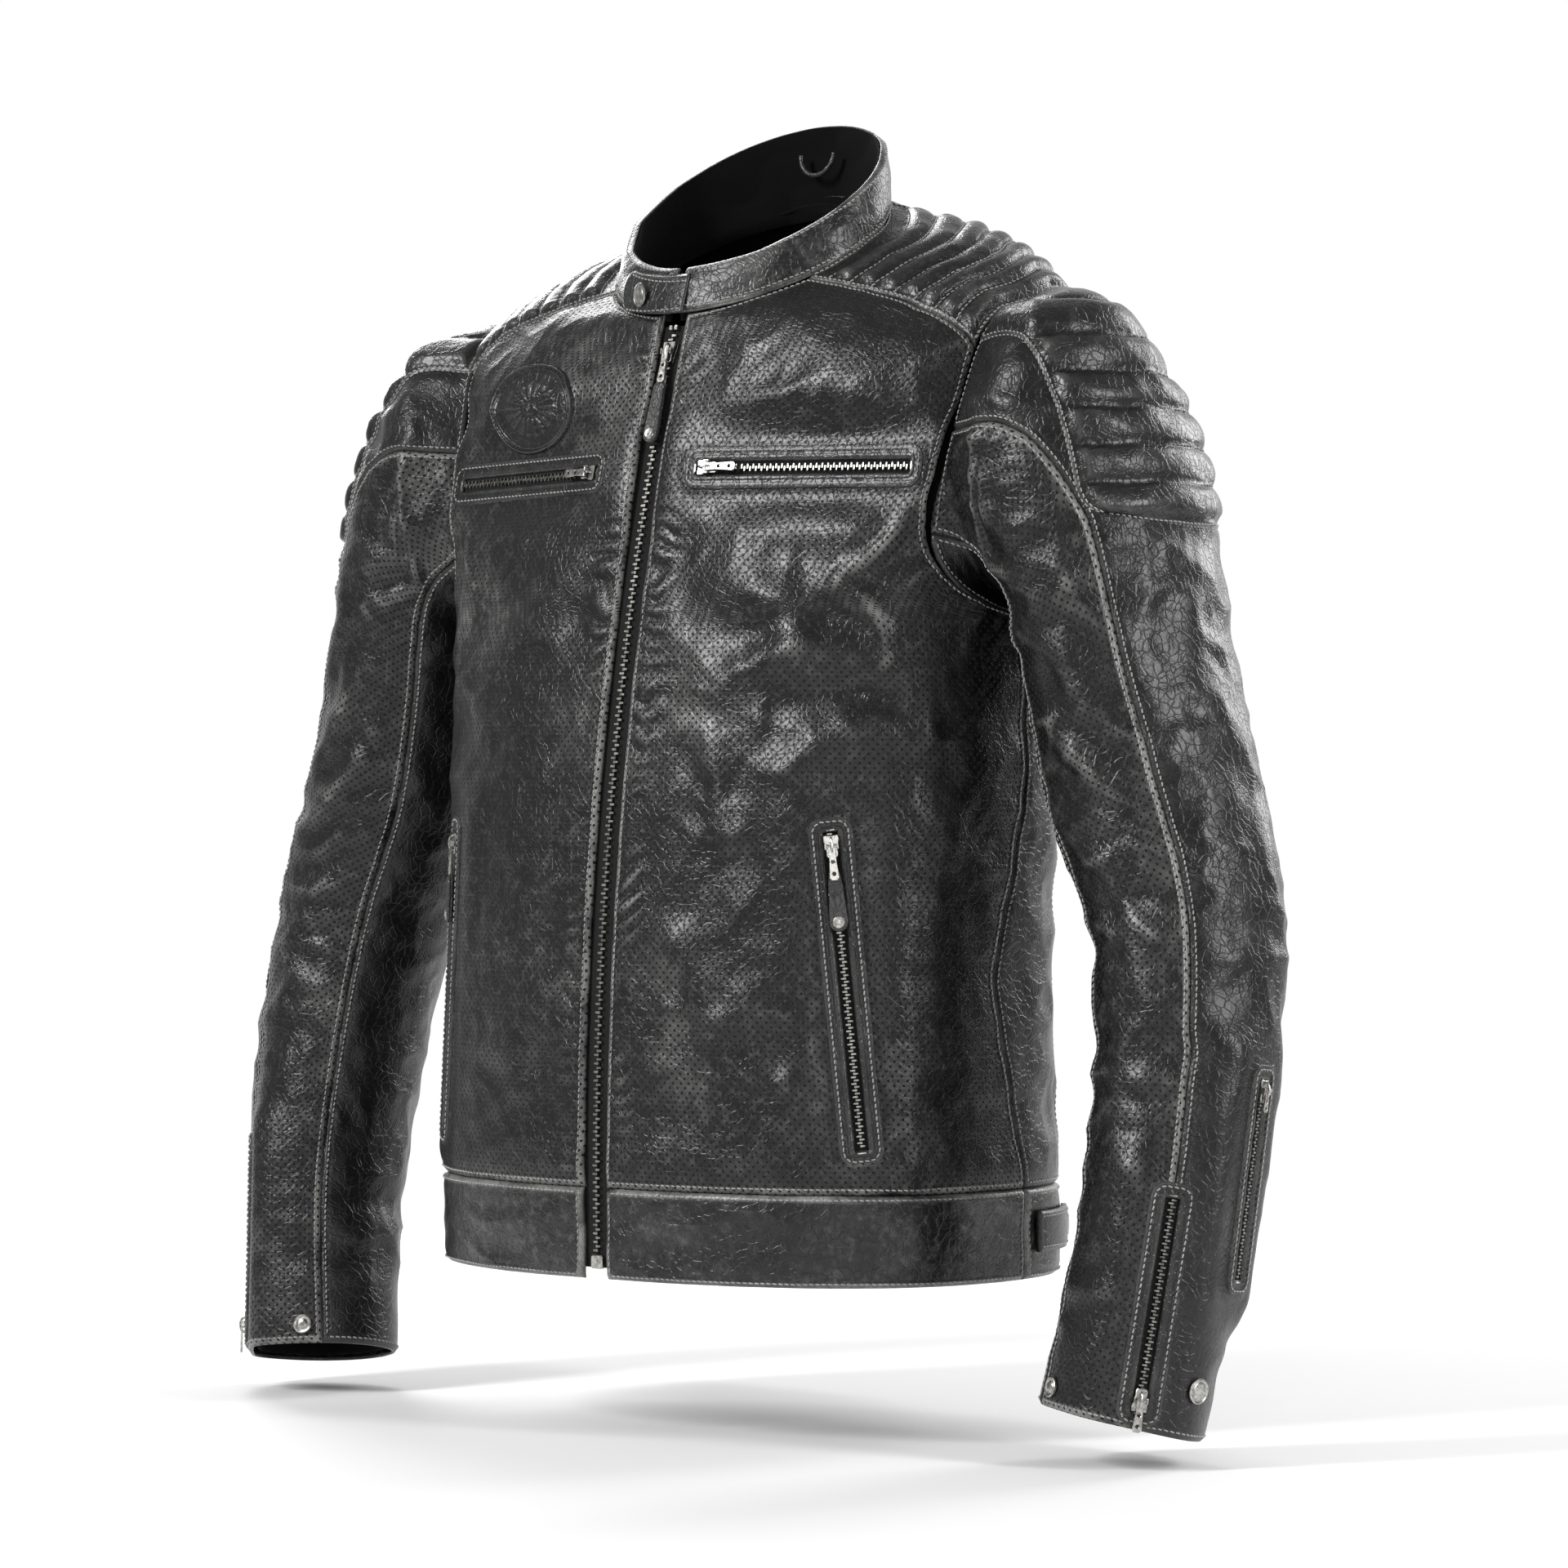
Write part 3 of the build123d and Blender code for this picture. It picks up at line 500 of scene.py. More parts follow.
def shell_parts(points, normals, thickness):
    """Vertices and outward quads of a closed sheet: the grid given, and the same grid thickness below it."""
    rows, cols = points.shape[:2]
    outer, n = points.reshape(-1, 3), normals.reshape(-1, 3)
    thickness = np.broadcast_to(thickness, points.shape[:2]).reshape(-1, 1)
    faces = quads(rows, cols)
    side = np.cross(outer[faces[:, 1]] - outer[faces[:, 0]], outer[faces[:, 3]] - outer[faces[:, 0]])
    ahead = (side * n[faces[:, 0]]).sum() > 0
    if not ahead:
        faces = faces[:, ::-1]
    i = np.arange(rows * cols).reshape(rows, cols)
    loop = np.concatenate([i[0, :], i[1:, -1], i[-1, -2::-1], i[-2:0:-1, 0]])
    a, b, total = loop, np.roll(loop, -1), rows * cols
    rim = np.stack([b, a, a + total, b + total], -1) if ahead else np.stack([a, b, b + total, a + total], -1)
    return np.concatenate([outer, outer - n * thickness]), np.concatenate([faces, faces[:, ::-1] + total, rim])


def sheet_object(name, points, normals, material, thickness=LEATHER):
    """A closed leather or cloth sheet whose UVs are its own arc lengths."""
    verts, faces = shell_parts(points, normals, thickness)
    across, down = lengths(points, 1), lengths(points, 0)
    middle = across[:, across.shape[1] // 2 : across.shape[1] // 2 + 1]
    uv = np.stack([across - middle, down[:, down.shape[1] // 2 : down.shape[1] // 2 + 1] + 0 * across],
                  -1).reshape(-1, 2)
    return make_object(name, verts, faces, material, np.concatenate([uv, uv]))


def lengths(points, axis):
    """Distance along the grid from its first row or column."""
    steps = np.linalg.norm(np.diff(points, axis=axis), axis=-1)
    zero = np.zeros_like(steps.take([0], axis))
    return np.cumsum(np.concatenate([zero, steps], axis), axis)


def edge_distance(points, sides="lrbt"):
    """Distance of each grid point from the nearest of the named sides.

    l and r are the first and last columns, b and t the first and last rows.
    """
    across, down = lengths(points, 1), lengths(points, 0)
    found = {"l": across, "r": across[:, -1:] - across, "b": down, "t": down[-1:] - down}
    return np.minimum.reduce([found[s] for s in sides])


def seam_dip(d):
    """The leather turns down at a seam and is drawn in along its stitches."""
    return -1.7 * bell(d, 0, 1.5) - 0.5 * bell(d, SEAM_MARGIN, 1.0) + 0.35 * bell(d, 2.2, 1.0)


def even(base, fixed, start, end, count, first=True):
    """Values from start to end at equal distances along the surface, with the other coordinate fixed."""
    fine = start + (end - start) * np.linspace(0, 1, 240)
    curve = base(fixed, fine) if first else base(fine, fixed)
    run = run_along(curve)
    return np.interp(np.linspace(0, run[-1], count), run, fine), run[-1]


def row_grid(base, levels, starts, ends, step=GRID):
    """Grid of (level, angle) whose rows run from starts to ends in equal steps."""
    widest = max(even(base, levels[i], starts[i], ends[i], 2)[1] for i in range(0, len(levels), 8))
    count = max(4, int(widest / step) + 1)
    angles = np.array([even(base, lv, a, b, count)[0] for lv, a, b in zip(levels, starts, ends)])
    return np.repeat(levels[:, None], count, 1), angles


def even_levels(base, low, high, angle, step=GRID):
    total = even(base, angle, low, high, 2, False)[1]
    return even(base, angle, low, high, max(4, int(total / step) + 1), False)[0]


# ------------------------------------------------------------------ materials
class Nodes:
    """Short forms for building a node tree."""

    def __init__(self, name):
        self.material = bpy.data.materials.new(name)
        self.material.use_nodes = True
        self.tree = self.material.node_tree
        self.shader = self.tree.nodes["Principled BSDF"]
        self.place = self.add("ShaderNodeTexCoord").outputs["Object"]

    def add(self, kind, **inputs):
        node = self.tree.nodes.new(kind)
        for key, value in inputs.items():
            if hasattr(node, key):
                setattr(node, key, value)
            else:
                self.set(node.inputs[key.replace("_", " ")], value)
        return node

    def set(self, socket, value):
        if isinstance(value, bpy.types.NodeSocket):
            self.tree.links.new(value, socket)
        else:
            socket.default_value = value

    def dress(self, **values):
        """Sets or links the shader's sockets and returns the material."""
        for key, value in values.items():
            self.set(self.shader.inputs[key.replace("_", " ")], value)
        return self.material

    def math(self, operation, a, b=0.0):
        node = self.tree.nodes.new("ShaderNodeMath")
        node.operation = operation
        for socket, value in zip(node.inputs, (a, b)):
            self.set(socket, value)
        return node.outputs[0]

    def times(self, a, b):
        return self.math("MULTIPLY", a, b)

    def plus(self, a, b):
        return self.math("ADD", a, b)

    def ramp(self, value, stops):
        node = self.tree.nodes.new("ShaderNodeValToRGB")
        self.set(node.inputs[0], value)
        ramp = node.color_ramp
        while len(ramp.elements) < len(stops):
            ramp.elements.new(0.5)
        for element, (at, shade) in zip(ramp.elements, stops):
            element.position = at
            element.color = (shade, shade, shade, 1) if isinstance(shade, (int, float)) else (*shade, 1)
        return node.outputs[0]

    def noise(self, vector, scale, detail=4.0, rough=0.55):
        return self.add("ShaderNodeTexNoise", Vector=vector, Scale=scale, Detail=detail,
                        Roughness=rough).outputs["Fac"]

    def mix(self, share, a, b):
        node = self.tree.nodes.new("ShaderNodeMix")
        node.data_type = "RGBA"
        self.set(node.inputs["Factor"], share)
        for socket, value in ((node.inputs[6], a), (node.inputs[7], b)):
            self.set(socket, (value, value, value, 1) if isinstance(value, (int, float)) else value)
        return node.outputs[2]

    def bump(self, height, distance, strength):
        return self.add("ShaderNodeBump", Height=height, Distance=distance, Strength=strength).outputs[0]


HOLE_PITCH = 0.0056         # of the perforated leather, in metres


def leather(name, dark=0.0025, worn_and_highlight_grey=0.12, wear_and_highlight=0.5, gloss=0.36, dots=False, offset=0.0):
    """Black leather: pebbled grain, fine creases, rubbed grey patches, painted grey highlight on fold ridges and
    seam edges, and punched holes if dots.
    """
    n = Nodes(name)
    moved = n.add("ShaderNodeMapping", Vector=n.place, Location=(offset, offset * 0.7, offset * 1.3)).outputs[0]
    warp = n.noise(moved, 90, 2)
    bent = n.add("ShaderNodeMixRGB", Fac=0.012, Color1=moved,
                 Color2=n.add("ShaderNodeTexNoise", Vector=moved, Scale=60).outputs["Color"]).outputs[0]
    pebble = n.add("ShaderNodeTexVoronoi", Vector=bent, Scale=720.0, feature="SMOOTH_F1").outputs["Distance"]
    crack = n.add("ShaderNodeTexVoronoi", Vector=bent, Scale=190.0, feature="DISTANCE_TO_EDGE").outputs["Distance"]
    crease = n.ramp(crack, [(0.0, 0.0), (0.09, 1.0)])
    large = n.noise(moved, 9.0, 5, 0.6)
    patch = n.noise(moved, 26.0, 6, 0.68)
    rub_and_ridge_highlight = n.times(n.ramp(large, [(0.5, 0.0), (0.74, 0.7)]), n.ramp(patch, [(0.46, 0.0), (0.7, 1.0)]))
    # Painted highlight: the worn grey also goes on convex fold ridges and seam edges, where highlights fall; the
    # noise patches and the scuffs are wear.
    ridge = n.ramp(n.add("ShaderNodeNewGeometry").outputs["Pointiness"], [(0.508, 0.0), (0.55, 1.0)])
    rub_and_ridge_highlight = n.math("MAXIMUM", rub_and_ridge_highlight, n.times(ridge, n.ramp(patch, [(0.34, 0.0), (0.58, 1.0)])))
    scuff = n.times(n.ramp(n.noise(moved, 150.0, 5, 0.7), [(0.5, 0.0), (0.74, 1.0)]),
                    n.ramp(large, [(0.35, 0.15), (0.65, 1.0)]))
    share = n.times(n.plus(rub_and_ridge_highlight, n.times(scuff, 0.4)), wear_and_highlight)
    share = n.times(share, n.ramp(pebble, [(0.15, 1.0), (0.75, 0.55)]))
    # The colour runs from black to the worn grey, which stands for real wear and for painted highlight on the
    # ridges.
    colour = n.mix(share, dark, (worn_and_highlight_grey, worn_and_highlight_grey * 0.99, worn_and_highlight_grey * 0.965, 1))
    height = n.plus(n.times(pebble, -0.55), n.times(crease, 0.5))
    height = n.plus(height, n.times(warp, 0.7))
    if dots:
        uv = n.add("ShaderNodeSeparateXYZ", Vector=n.add("ShaderNodeUVMap", uv_map="UVMap").outputs[0])
        hole = None
        for shift in (0.0, 0.5):
            u, v = (n.math("SUBTRACT", n.math("FRACT", n.plus(n.math("DIVIDE", uv.outputs[k], HOLE_PITCH), shift)),
                           0.5)
                    for k in (0, 1))
            r = n.math("SQRT", n.plus(n.times(u, u), n.times(v, v)))
            spot = n.ramp(r, [(0.125, 0.0), (0.175, 1.0)])
            hole = spot if hole is None else n.times(hole, spot)
        colour = n.mix(hole, 0.001, colour)
        height = n.plus(height, n.times(hole, 2.2))
    rough = n.plus(n.times(n.noise(moved, 40, 4), 0.2), gloss - 0.16)
    rough = n.plus(rough, n.times(pebble, 0.12))
    if dots:
        rough = n.plus(rough, n.times(n.math("SUBTRACT", 1.0, hole), 0.6))
    return n.dress(Base_Color=colour, Roughness=rough, Specular_IOR_Level=0.46, Coat_Weight=0.1, Coat_Roughness=0.3,
                   Normal=n.bump(height, 0.00045, 0.55 if dots else 0.7))


def cloth(name, colour, weave=0.0009, sheen=0.25):
    """Woven cloth with threads this far apart."""
    n = Nodes(name)
    waves = []
    for direction in ("X", "Z"):
        waves.append(n.add("ShaderNodeTexWave", Vector=n.place, Scale=1 / weave / 6.28 * 2, Distortion=0.3,
                           bands_direction=direction).outputs["Fac"])
    thread = n.times(waves[0], waves[1])
    tone = n.noise(n.place, 60, 3)
    # Painted shade: the colour is darker in the gaps between threads and lighter on their tops, following the
    # weave's bump; the noise tone is the cloth's own.
    shade = n.mix(n.times(n.plus(thread, tone), 0.5), tuple(c * 0.6 for c in colour) + (1,),
                  tuple(c * 1.7 for c in colour) + (1,))
    return n.dress(Base_Color=shade, Roughness=0.9, Specular_IOR_Level=0.12, Sheen_Weight=sheen,
                   Normal=n.bump(thread, 0.0003, 0.6))


def metal(name, colour, rough=0.28):
    """Cast metal with rubbed high spots and darker film in the low ones."""
    n = Nodes(name)
    film = n.noise(n.place, 380, 4, 0.6)
    shade = n.mix(n.ramp(film, [(0.35, 0.0), (0.6, 1.0)]), tuple(c * 0.45 for c in colour) + (1,), (*colour, 1))
    return n.dress(Base_Color=shade, Metallic=1.0, Roughness=n.plus(n.times(film, 0.3), rough - 0.12),
                   Normal=n.bump(n.noise(n.place, 900, 3), 0.00006, 0.6))


def thread_material():
    n = Nodes("thread")
    fibre = n.noise(n.place, 2400, 2)
    fade = n.ramp(n.noise(n.place, 55, 3), [(0.3, 0.25), (0.7, 1.0)])
    shade = n.mix(n.times(fade, fibre), (0.16, 0.16, 0.155, 1), (0.6, 0.59, 0.575, 1))
    return n.dress(Base_Color=shade, Roughness=0.7, Sheen_Weight=0.3, Normal=n.bump(fibre, 0.0001, 0.5))


# Painted highlight: the perforated leather and the collar and waist band get a lighter worn grey and full wear, so
# they show lighter where highlights fall, on top of their wear.
PLAIN = leather("leather_plain", wear_and_highlight=0.4)
DOTTED = leather("leather_perforated", wear_and_highlight=1.0, worn_and_highlight_grey=0.24, dots=True, offset=0.31)
BACK = leather("leather_back", wear_and_highlight=0.3, offset=0.77)
BAND = leather("leather_band", dark=0.006, worn_and_highlight_grey=0.26, wear_and_highlight=1.0, gloss=0.34, offset=1.4)
QUILT = leather("leather_quilted", dark=0.006, worn_and_highlight_grey=0.16, wear_and_highlight=0.7, gloss=0.33, offset=2.1)
TRIM = leather("leather_trim", dark=0.005, worn_and_highlight_grey=0.10, wear_and_highlight=0.5, gloss=0.34, offset=2.9)
LINING = cloth("lining_fabric", (0.0015, 0.0015, 0.0016), 0.0012, 0.05)
BAG = cloth("pocket_fabric", (0.012, 0.012, 0.013), 0.0008)
TAPE = cloth("zip_tape_fabric", (0.012, 0.012, 0.012), 0.0007, 0.1)
METAL = metal("antique_silver", (0.55, 0.54, 0.51))
TEETH = metal("zip_teeth_metal", (0.36, 0.35, 0.33), 0.34)
THREAD = thread_material()

# ------------------------------------------------------------------ seams of the body
YOKE_LOW, YOKE_BACK_LOW = 7.75, 7.9
YOKE_FRONT = (np.array([YOKE_LOW, 9, 10, 11.0]), np.array([float(armhole_angle(YOKE_LOW)), -33, -33, -32]))
YOKE_BACK = (np.array([YOKE_BACK_LOW, 9, 10, 11.0]),
             np.array([float(armhole_angle(YOKE_BACK_LOW, False)), 38, 47, 52]))


def side_seam(level):
    return np.interp(level, [0, 1, 2.6, 3.7, 5], [6, 5, -2, 3, -2])


def back_seam(level):
    return np.interp(level, [0, 3.2, 5.0], [34, 34, 24])


def front_end(level):
    """The outer edge of the left front: side seam, armhole, then yoke."""
    level = np.asarray(level, float)
    end = np.where(level < ARM_LOW, side_seam(level), np.minimum(side_seam(level), armhole_angle(level)))
    return np.where(level > YOKE_LOW, np.interp(level, *YOKE_FRONT), end)


def back_start(level):
    level = np.asarray(level, float)
    start = np.where(level < ARM_LOW, back_seam(level), np.maximum(back_seam(level), armhole_angle(level, False)))
    return np.where(level > YOKE_BACK_LOW, np.interp(level, *YOKE_BACK), start)


# What takes an angle, or a point, of the left side to each side.
SIDES = {"left": lambda angle: angle, "right": lambda angle: 180 - np.asarray(angle, float)}
TURN = {"left": np.array([1.0, 1, 1]), "right": np.array([-1.0, 1, 1])}
PANEL_LOW = 1.0             # the level of the panels' lower edge, on the waistband's seam
PIECES = {"jacket": [], "sleeve_left": [], "sleeve_right": []}      # visible pieces by body; all but the sleeves' own are attached to their body
SHEETS = {}                 # finished grids: points, normals, body, sides to sew, distances from the edge
CHANNELS = []               # rows of stitches inside a grid: points, normals, body, rows, columns


def add_sheet(name, points, normals, material, thickness, body, nodes, sides="", margins=(SEAM_MARGIN,)):
    """A sheet filed under a body that stands for these CAD nodes, to be sewn along the sides named."""
    obj = sheet_object(name, points, normals, material, thickness)
    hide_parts(*nodes)
    PIECES.setdefault(body, []).append(obj)
    SHEETS[name] = (points, normals, body, sides, margins)
    return obj


def body_panel(name, levels, angles, material, nodes, puff=None):
    """One leather panel of the body over a grid of levels and angles."""
    base = body_base(levels, angles)
    lift = seam_dip(edge_distance(base))
    height = base[..., 2]
    over_band = 1.2 * np.exp(-(((height - (WAISTBAND + 12)) / 11) ** 2)) * (1 - np.exp(-((height - WAISTBAND) / 5)))
    lift = lift + np.where(levels < 2, over_band, 0)
    if puff is not None:
        lift = lift + puff(base)
    margins = (SEAM_MARGIN,) if puff is None else (2.6,)
    return add_sheet(name, *body_skin(levels, angles, lift), material, LEATHER, "jacket", nodes, "lrbt", margins)


rows = even_levels(body_base, PANEL_LOW, 11.0, -60)
levels, angles = row_grid(body_base, rows, angle_at(rows, ZIP_EDGE), front_end(rows))
for side in SIDES:
    body_panel(f"front_leather_{side}", levels, SIDES[side](angles), DOTTED, [f"front_panel_{side}"])

rows = even_levels(body_base, PANEL_LOW, 11.0, 60)
levels, angles = row_grid(body_base, rows, back_start(rows), 180 - back_start(rows), 2.8)
body_panel("back_leather", levels, angles, BACK, ["back_panel"])

# The side panel's top is the bottom of the armhole.
share = np.linspace(0, 1, 42)
arm_angles = np.concatenate([ARM_FRONT[1][::-1], ARM_BACK[1]])
arm_levels = np.concatenate([ARM_FRONT[0][::-1], ARM_BACK[0]])
near = arm_levels < ARM_TURN
order = np.argsort(arm_angles[near])
tops = side_seam(5) + (back_seam(5) - side_seam(5)) * share
tops = np.interp(tops, arm_angles[near][order], arm_levels[near][order])
t = np.linspace(0, 1, 140)[:, None]
levels = PANEL_LOW + (tops[None] - PANEL_LOW) * t
angles = side_seam(levels) + (back_seam(levels) - side_seam(levels)) * share[None]
for side in SIDES:
    body_panel(f"side_leather_{side}", levels, SIDES[side](angles), BACK, [f"side_panel_{side}"])


# ------------------------------------------------------------------ quilted yokes
def coons(outer, inner, start, end):
    """A grid whose first and last rows are outer and inner, and whose first and last columns are start and end."""
    rows, cols = len(start), len(outer)
    s, t = np.linspace(0, 1, cols)[None, :, None], np.linspace(0, 1, rows)[:, None, None]
    flat = (1 - t) * outer[None] + t * inner[None] + (1 - s) * start[:, None] + s * end[:, None]
    corners = (1 - s) * (1 - t) * outer[0] + s * (1 - t) * outer[-1] + (1 - s) * t * inner[0] + s * t * inner[-1]
    return flat - corners


def along_curve(curve, count, base=None):
    """Points at equal steps of surface distance along a curve of surface places."""
    places = np.asarray(curve, float)
    points = (base or body_base)(places[:, 0], places[:, 1])
    run = run_along(points)
    even_run = np.linspace(0, run[-1], count)
    return np.stack([np.interp(even_run, run, places[:, k]) for k in range(2)], -1)


YOKE_RIBS = 7


def yoke_grid():
    up = ARM_FRONT[0] >= YOKE_LOW
    down = ARM_BACK[0] >= YOKE_BACK_LOW
    outer = [(YOKE_LOW, YOKE_FRONT[1][0]), *zip(ARM_FRONT[0][up], ARM_FRONT[1][up]),
             *list(zip(ARM_BACK[0][down], ARM_BACK[1][down]))[::-1], (YOKE_BACK_LOW, YOKE_BACK[1][0])]
    inner = [(11.0, a) for a in np.linspace(-32, 52, 60)]
    front = [(v, np.interp(v, *YOKE_FRONT)) for v in np.linspace(YOKE_LOW, 11, 80)]
    back = [(v, np.interp(v, *YOKE_BACK)) for v in np.linspace(YOKE_BACK_LOW, 11, 80)]
    grid = coons(along_curve(outer, 70), along_curve(inner, 70), along_curve(front, 76), along_curve(back, 76))
    return grid[..., 0], grid[..., 1]


def ribs(phase, height, floor=0.0):
    """Padded ribs with sewn channels wherever phase is a whole number."""
    wave = np.abs(np.sin(np.pi * phase))
    return height * (wave**0.55 - 0.15) + floor


yoke_levels, yoke_angles = yoke_grid()
YOKE_T = np.linspace(0, 1, yoke_levels.shape[0])[:, None] + 0 * yoke_levels


def yoke_puff(base):
    inset = smooth((edge_distance(base) - 2.5) / 7)
    phase = np.clip(YOKE_T * (YOKE_RIBS + 1) - 0.15, 0, YOKE_RIBS)
    return ribs(phase, 4.6) * inset + 0.6


for side in SIDES:
    yoke = body_panel(f"yoke_quilt_{side}", yoke_levels, SIDES[side](yoke_angles), QUILT, [f"shoulder_yoke_{side}"],
                      yoke_puff)
    points, normals = SHEETS[f"yoke_quilt_{side}"][:2]
    for k in range(YOKE_RIBS + 1):
        across = np.linspace(1.5, points.shape[1] - 2.5, points.shape[1] - 3)
        row = (k + 0.15) / (YOKE_RIBS + 1) * (points.shape[0] - 1)
        CHANNELS.append((points, normals, "jacket", np.full(len(across), row), across))


# ------------------------------------------------------------------ sleeves
def seam_front(station):
    return np.interp(station, [0, 1, 2, 3.5, 9], [-94, -82, -68, -53, -50])


# Where each panel of a sleeve starts and ends at a station, and its leather.
PANELS = {
    "sleeve_outer": (seam_front, lambda s: SEAM_BACK + 0 * s, PLAIN),
    "sleeve_front": (lambda s: SEAM_INNER + 0 * s, seam_front, DOTTED),
    "sleeve_inner": (lambda s: SEAM_BACK + 0 * s, lambda s: SEAM_INNER + 360 + 0 * s, BACK),
}
SLEEVE_HIGH = STATIONS - 0.01


def sleeve_panel(name, stations, angles, side, material, nodes, lift=0.0, thickness=LEATHER):
    """One leather panel of a sleeve over a grid of stations and angles."""
    lift = lift + seam_dip(edge_distance(sleeve_base(stations, angles)))
    points, normals = sleeve_skin(stations, angles, side, lift)
    margins = (SEAM_MARGIN,) if thickness == LEATHER else (1.9, 4.6)
    return add_sheet(name, points * TURN[side], normals * TURN[side], material, thickness, f"sleeve_{side}", nodes,
                     "lrbt", margins)


rows = even_levels(sleeve_base, 0.0, SLEEVE_HIGH, 10, 2.7)
for name, (start, end, material) in PANELS.items():
    stations, angles = row_grid(sleeve_base, rows, start(rows), end(rows), 2.7)
    for side in SIDES:
        sleeve_panel(f"{name}_{side}_leather", stations, angles, side, material, [f"{name}_{side}"])

# Quilted pad over the shoulder: ribs lie level, and the front edge runs down from the yoke's corner.
PAD_LOW_Z, PAD_PITCH, PAD_BACK = 438.0, 22.0, 100.0


def pad_front(station):
    return np.interp(station, [0, 4.0], [-41, -60])


def station_at(z, angle):
    """The station where the sleeve at an angle comes down to height z."""
    fine = np.linspace(0.3, 6, 400)
    heights = sleeve_base(fine, np.full(400, angle))[:, 2]
    return np.interp(-z, -heights, fine)


def pad_grid(rows=96, cols=112):
    s = np.linspace(0, 1, cols)
    bottoms = np.array([station_at(PAD_LOW_Z, a) for a in -58 + (PAD_BACK + 58) * s])
    t = np.linspace(0, 1, rows)[:, None]
    stations = 0.04 + (bottoms[None] - 0.04) * t
    corner = np.clip((t - 0.86) / 0.14, 0, 1)
    start = pad_front(stations) + 17 * (1 - np.sqrt(1 - corner**2 * 0.98))
    end = PAD_BACK - 12 * (1 - np.sqrt(1 - corner**2 * 0.98))
    return stations, start + (end - start) * s[None]


pad_stations, pad_angles = pad_grid()
pad_base = sleeve_base(pad_stations, pad_angles)
pad_slope = 0.06 * np.maximum(pad_base[..., 0] - 255, 0)
pad_phase = (pad_base[..., 2] - pad_slope - PAD_LOW_Z) / PAD_PITCH
pad_edge = edge_distance(pad_base)
pad_puff = ribs(pad_phase, 5.2) * smooth((pad_edge - 3.5) / 7) + 1.4 - 1.4 * smooth(1 - pad_edge / 1.2)
for side in SIDES:
    pad = sleeve_panel(f"shoulder_pad_{side}_quilt", pad_stations, pad_angles, side, QUILT,
                       [f"shoulder_pad_{side}"], pad_puff, 3.0)
    points, normals = SHEETS[f"shoulder_pad_{side}_quilt"][:2]
    for k in range(1, int(pad_phase.max()) + 1):
        rows, columns = [], []
        for j in range(2, pad_phase.shape[1] - 2):
            column = pad_phase[::-1, j]
            if column.min() < k < column.max() and np.all(np.diff(column) > 0):
                rows.append(pad_phase.shape[0] - 1 - np.interp(k, column, np.arange(len(column))))
                columns.append(float(j))
        keep = np.array([2 < r < pad_phase.shape[0] - 3 for r in rows])
        if keep.sum() > 4:
            CHANNELS.append((points, normals, f"sleeve_{side}", np.array(rows)[keep], np.array(columns)[keep]))


# ------------------------------------------------------------------ collar, waistband and lining
def collar_base(level, angle):
    level, angle = pair(level, angle)
    return ring_point(spline(COLLAR_RINGS, level), angle)


def collar_normal(level, angle):
    return surface_normal(collar_base, np.clip(level, 0.02, 1.98), angle, 0.02, 0.6)


def collar_skin(level, angle, lift=0.0):
    level, angle = pair(level, angle)
    base, normal = collar_base(level, angle), collar_normal(level, angle)
    wave = 0.9 * (creases(base * [1, 1, 1.6], 34, 5.2) - 0.5)
    return base + normal * (wave + 2.2 + np.asarray(lift))[..., None], normal


COLLAR_START = -87.6
level_rows = np.linspace(0.0, 2.0, 22)
grid_levels, grid_angles = row_grid(collar_base, level_rows, np.full(22, COLLAR_START),
                                    np.full(22, 180 - COLLAR_START), 2.2)
edge = edge_distance(collar_base(grid_levels, grid_angles))
top_gap = edge_distance(collar_base(grid_levels, grid_angles), "t")
crown = seam_dip(edge) * 0.7 - 1.6 * bell(top_gap, 0, 1.6) + 0.9 * bell(top_gap, 13, 7)
points, normals = collar_skin(grid_levels, grid_angles, crown)
add_sheet("collar_leather", points, normals, BAND, 3.6 + crown, "jacket", ["collar_band"], "lrbt")
points, normals = collar_skin(np.clip(grid_levels, 0.02, 1.95), grid_angles, -4.3 + 0 * crown)
# The facing runs on below the neck seam, further at the back than at the front.
drop = (4 + 13 * smooth((points[0, :, 1] + 45) / 60))[:, None] * np.array([0, 0, -1.0])
points = np.concatenate([[points[0] + drop, points[0] + drop / 2], points])
normals = np.concatenate([normals[:1], normals[:1], normals])
add_sheet("collar_inside", points, normals, LINING, 0.8, "jacket", ["collar_lining"])


def band_skin(level, angle, lift=0.0):
    base, normal = body_base(level, angle), body_normal(level, angle)
    wave = 0.8 * (creases(base * [1, 1, 2.0], 48, 9.4) - 0.5)
    return base + normal * (wave + 0.9 + np.asarray(lift))[..., None], normal


def band_piece(name, start, end, node):
    rows = np.linspace(0.006, 0.994, 27)
    lv, an = row_grid(body_base, rows, np.full(27, start), np.full(27, end), 2.4)
    base = body_base(lv, an)
    lift = 0.9 * seam_dip(edge_distance(base)) - 1.4 * np.exp(-((edge_distance(base, "bt") / 1.4) ** 2))
    add_sheet(name, *band_skin(lv, an, lift), BAND, 3.6 + lift, "jacket", [node], "lrbt")


band_start = float(angle_at(0.5, ZIP_EDGE))
band_piece("waistband_left", band_start, 4.6, "waistband_front_left")
band_piece("waistband_right", 180 - band_start, 175.4, "waistband_front_right")
band_piece("waistband_rear", 5.0, 175.0, "waistband_back")


def lining_sheet(name, base, normal, relief, u, v, lift, node, body, zips, turn=(1, 1, 1)):
    """Lining at a lift from a plain surface, with its own slack, laid flat behind the zips."""
    points, normals = base(u, v), normal(u, v)
    points = flatten(points + normals * (relief + lift)[..., None], zips, lift - 0.5)
    add_sheet(name, points * turn, normals * turn, LINING, 0.7, body, [node])


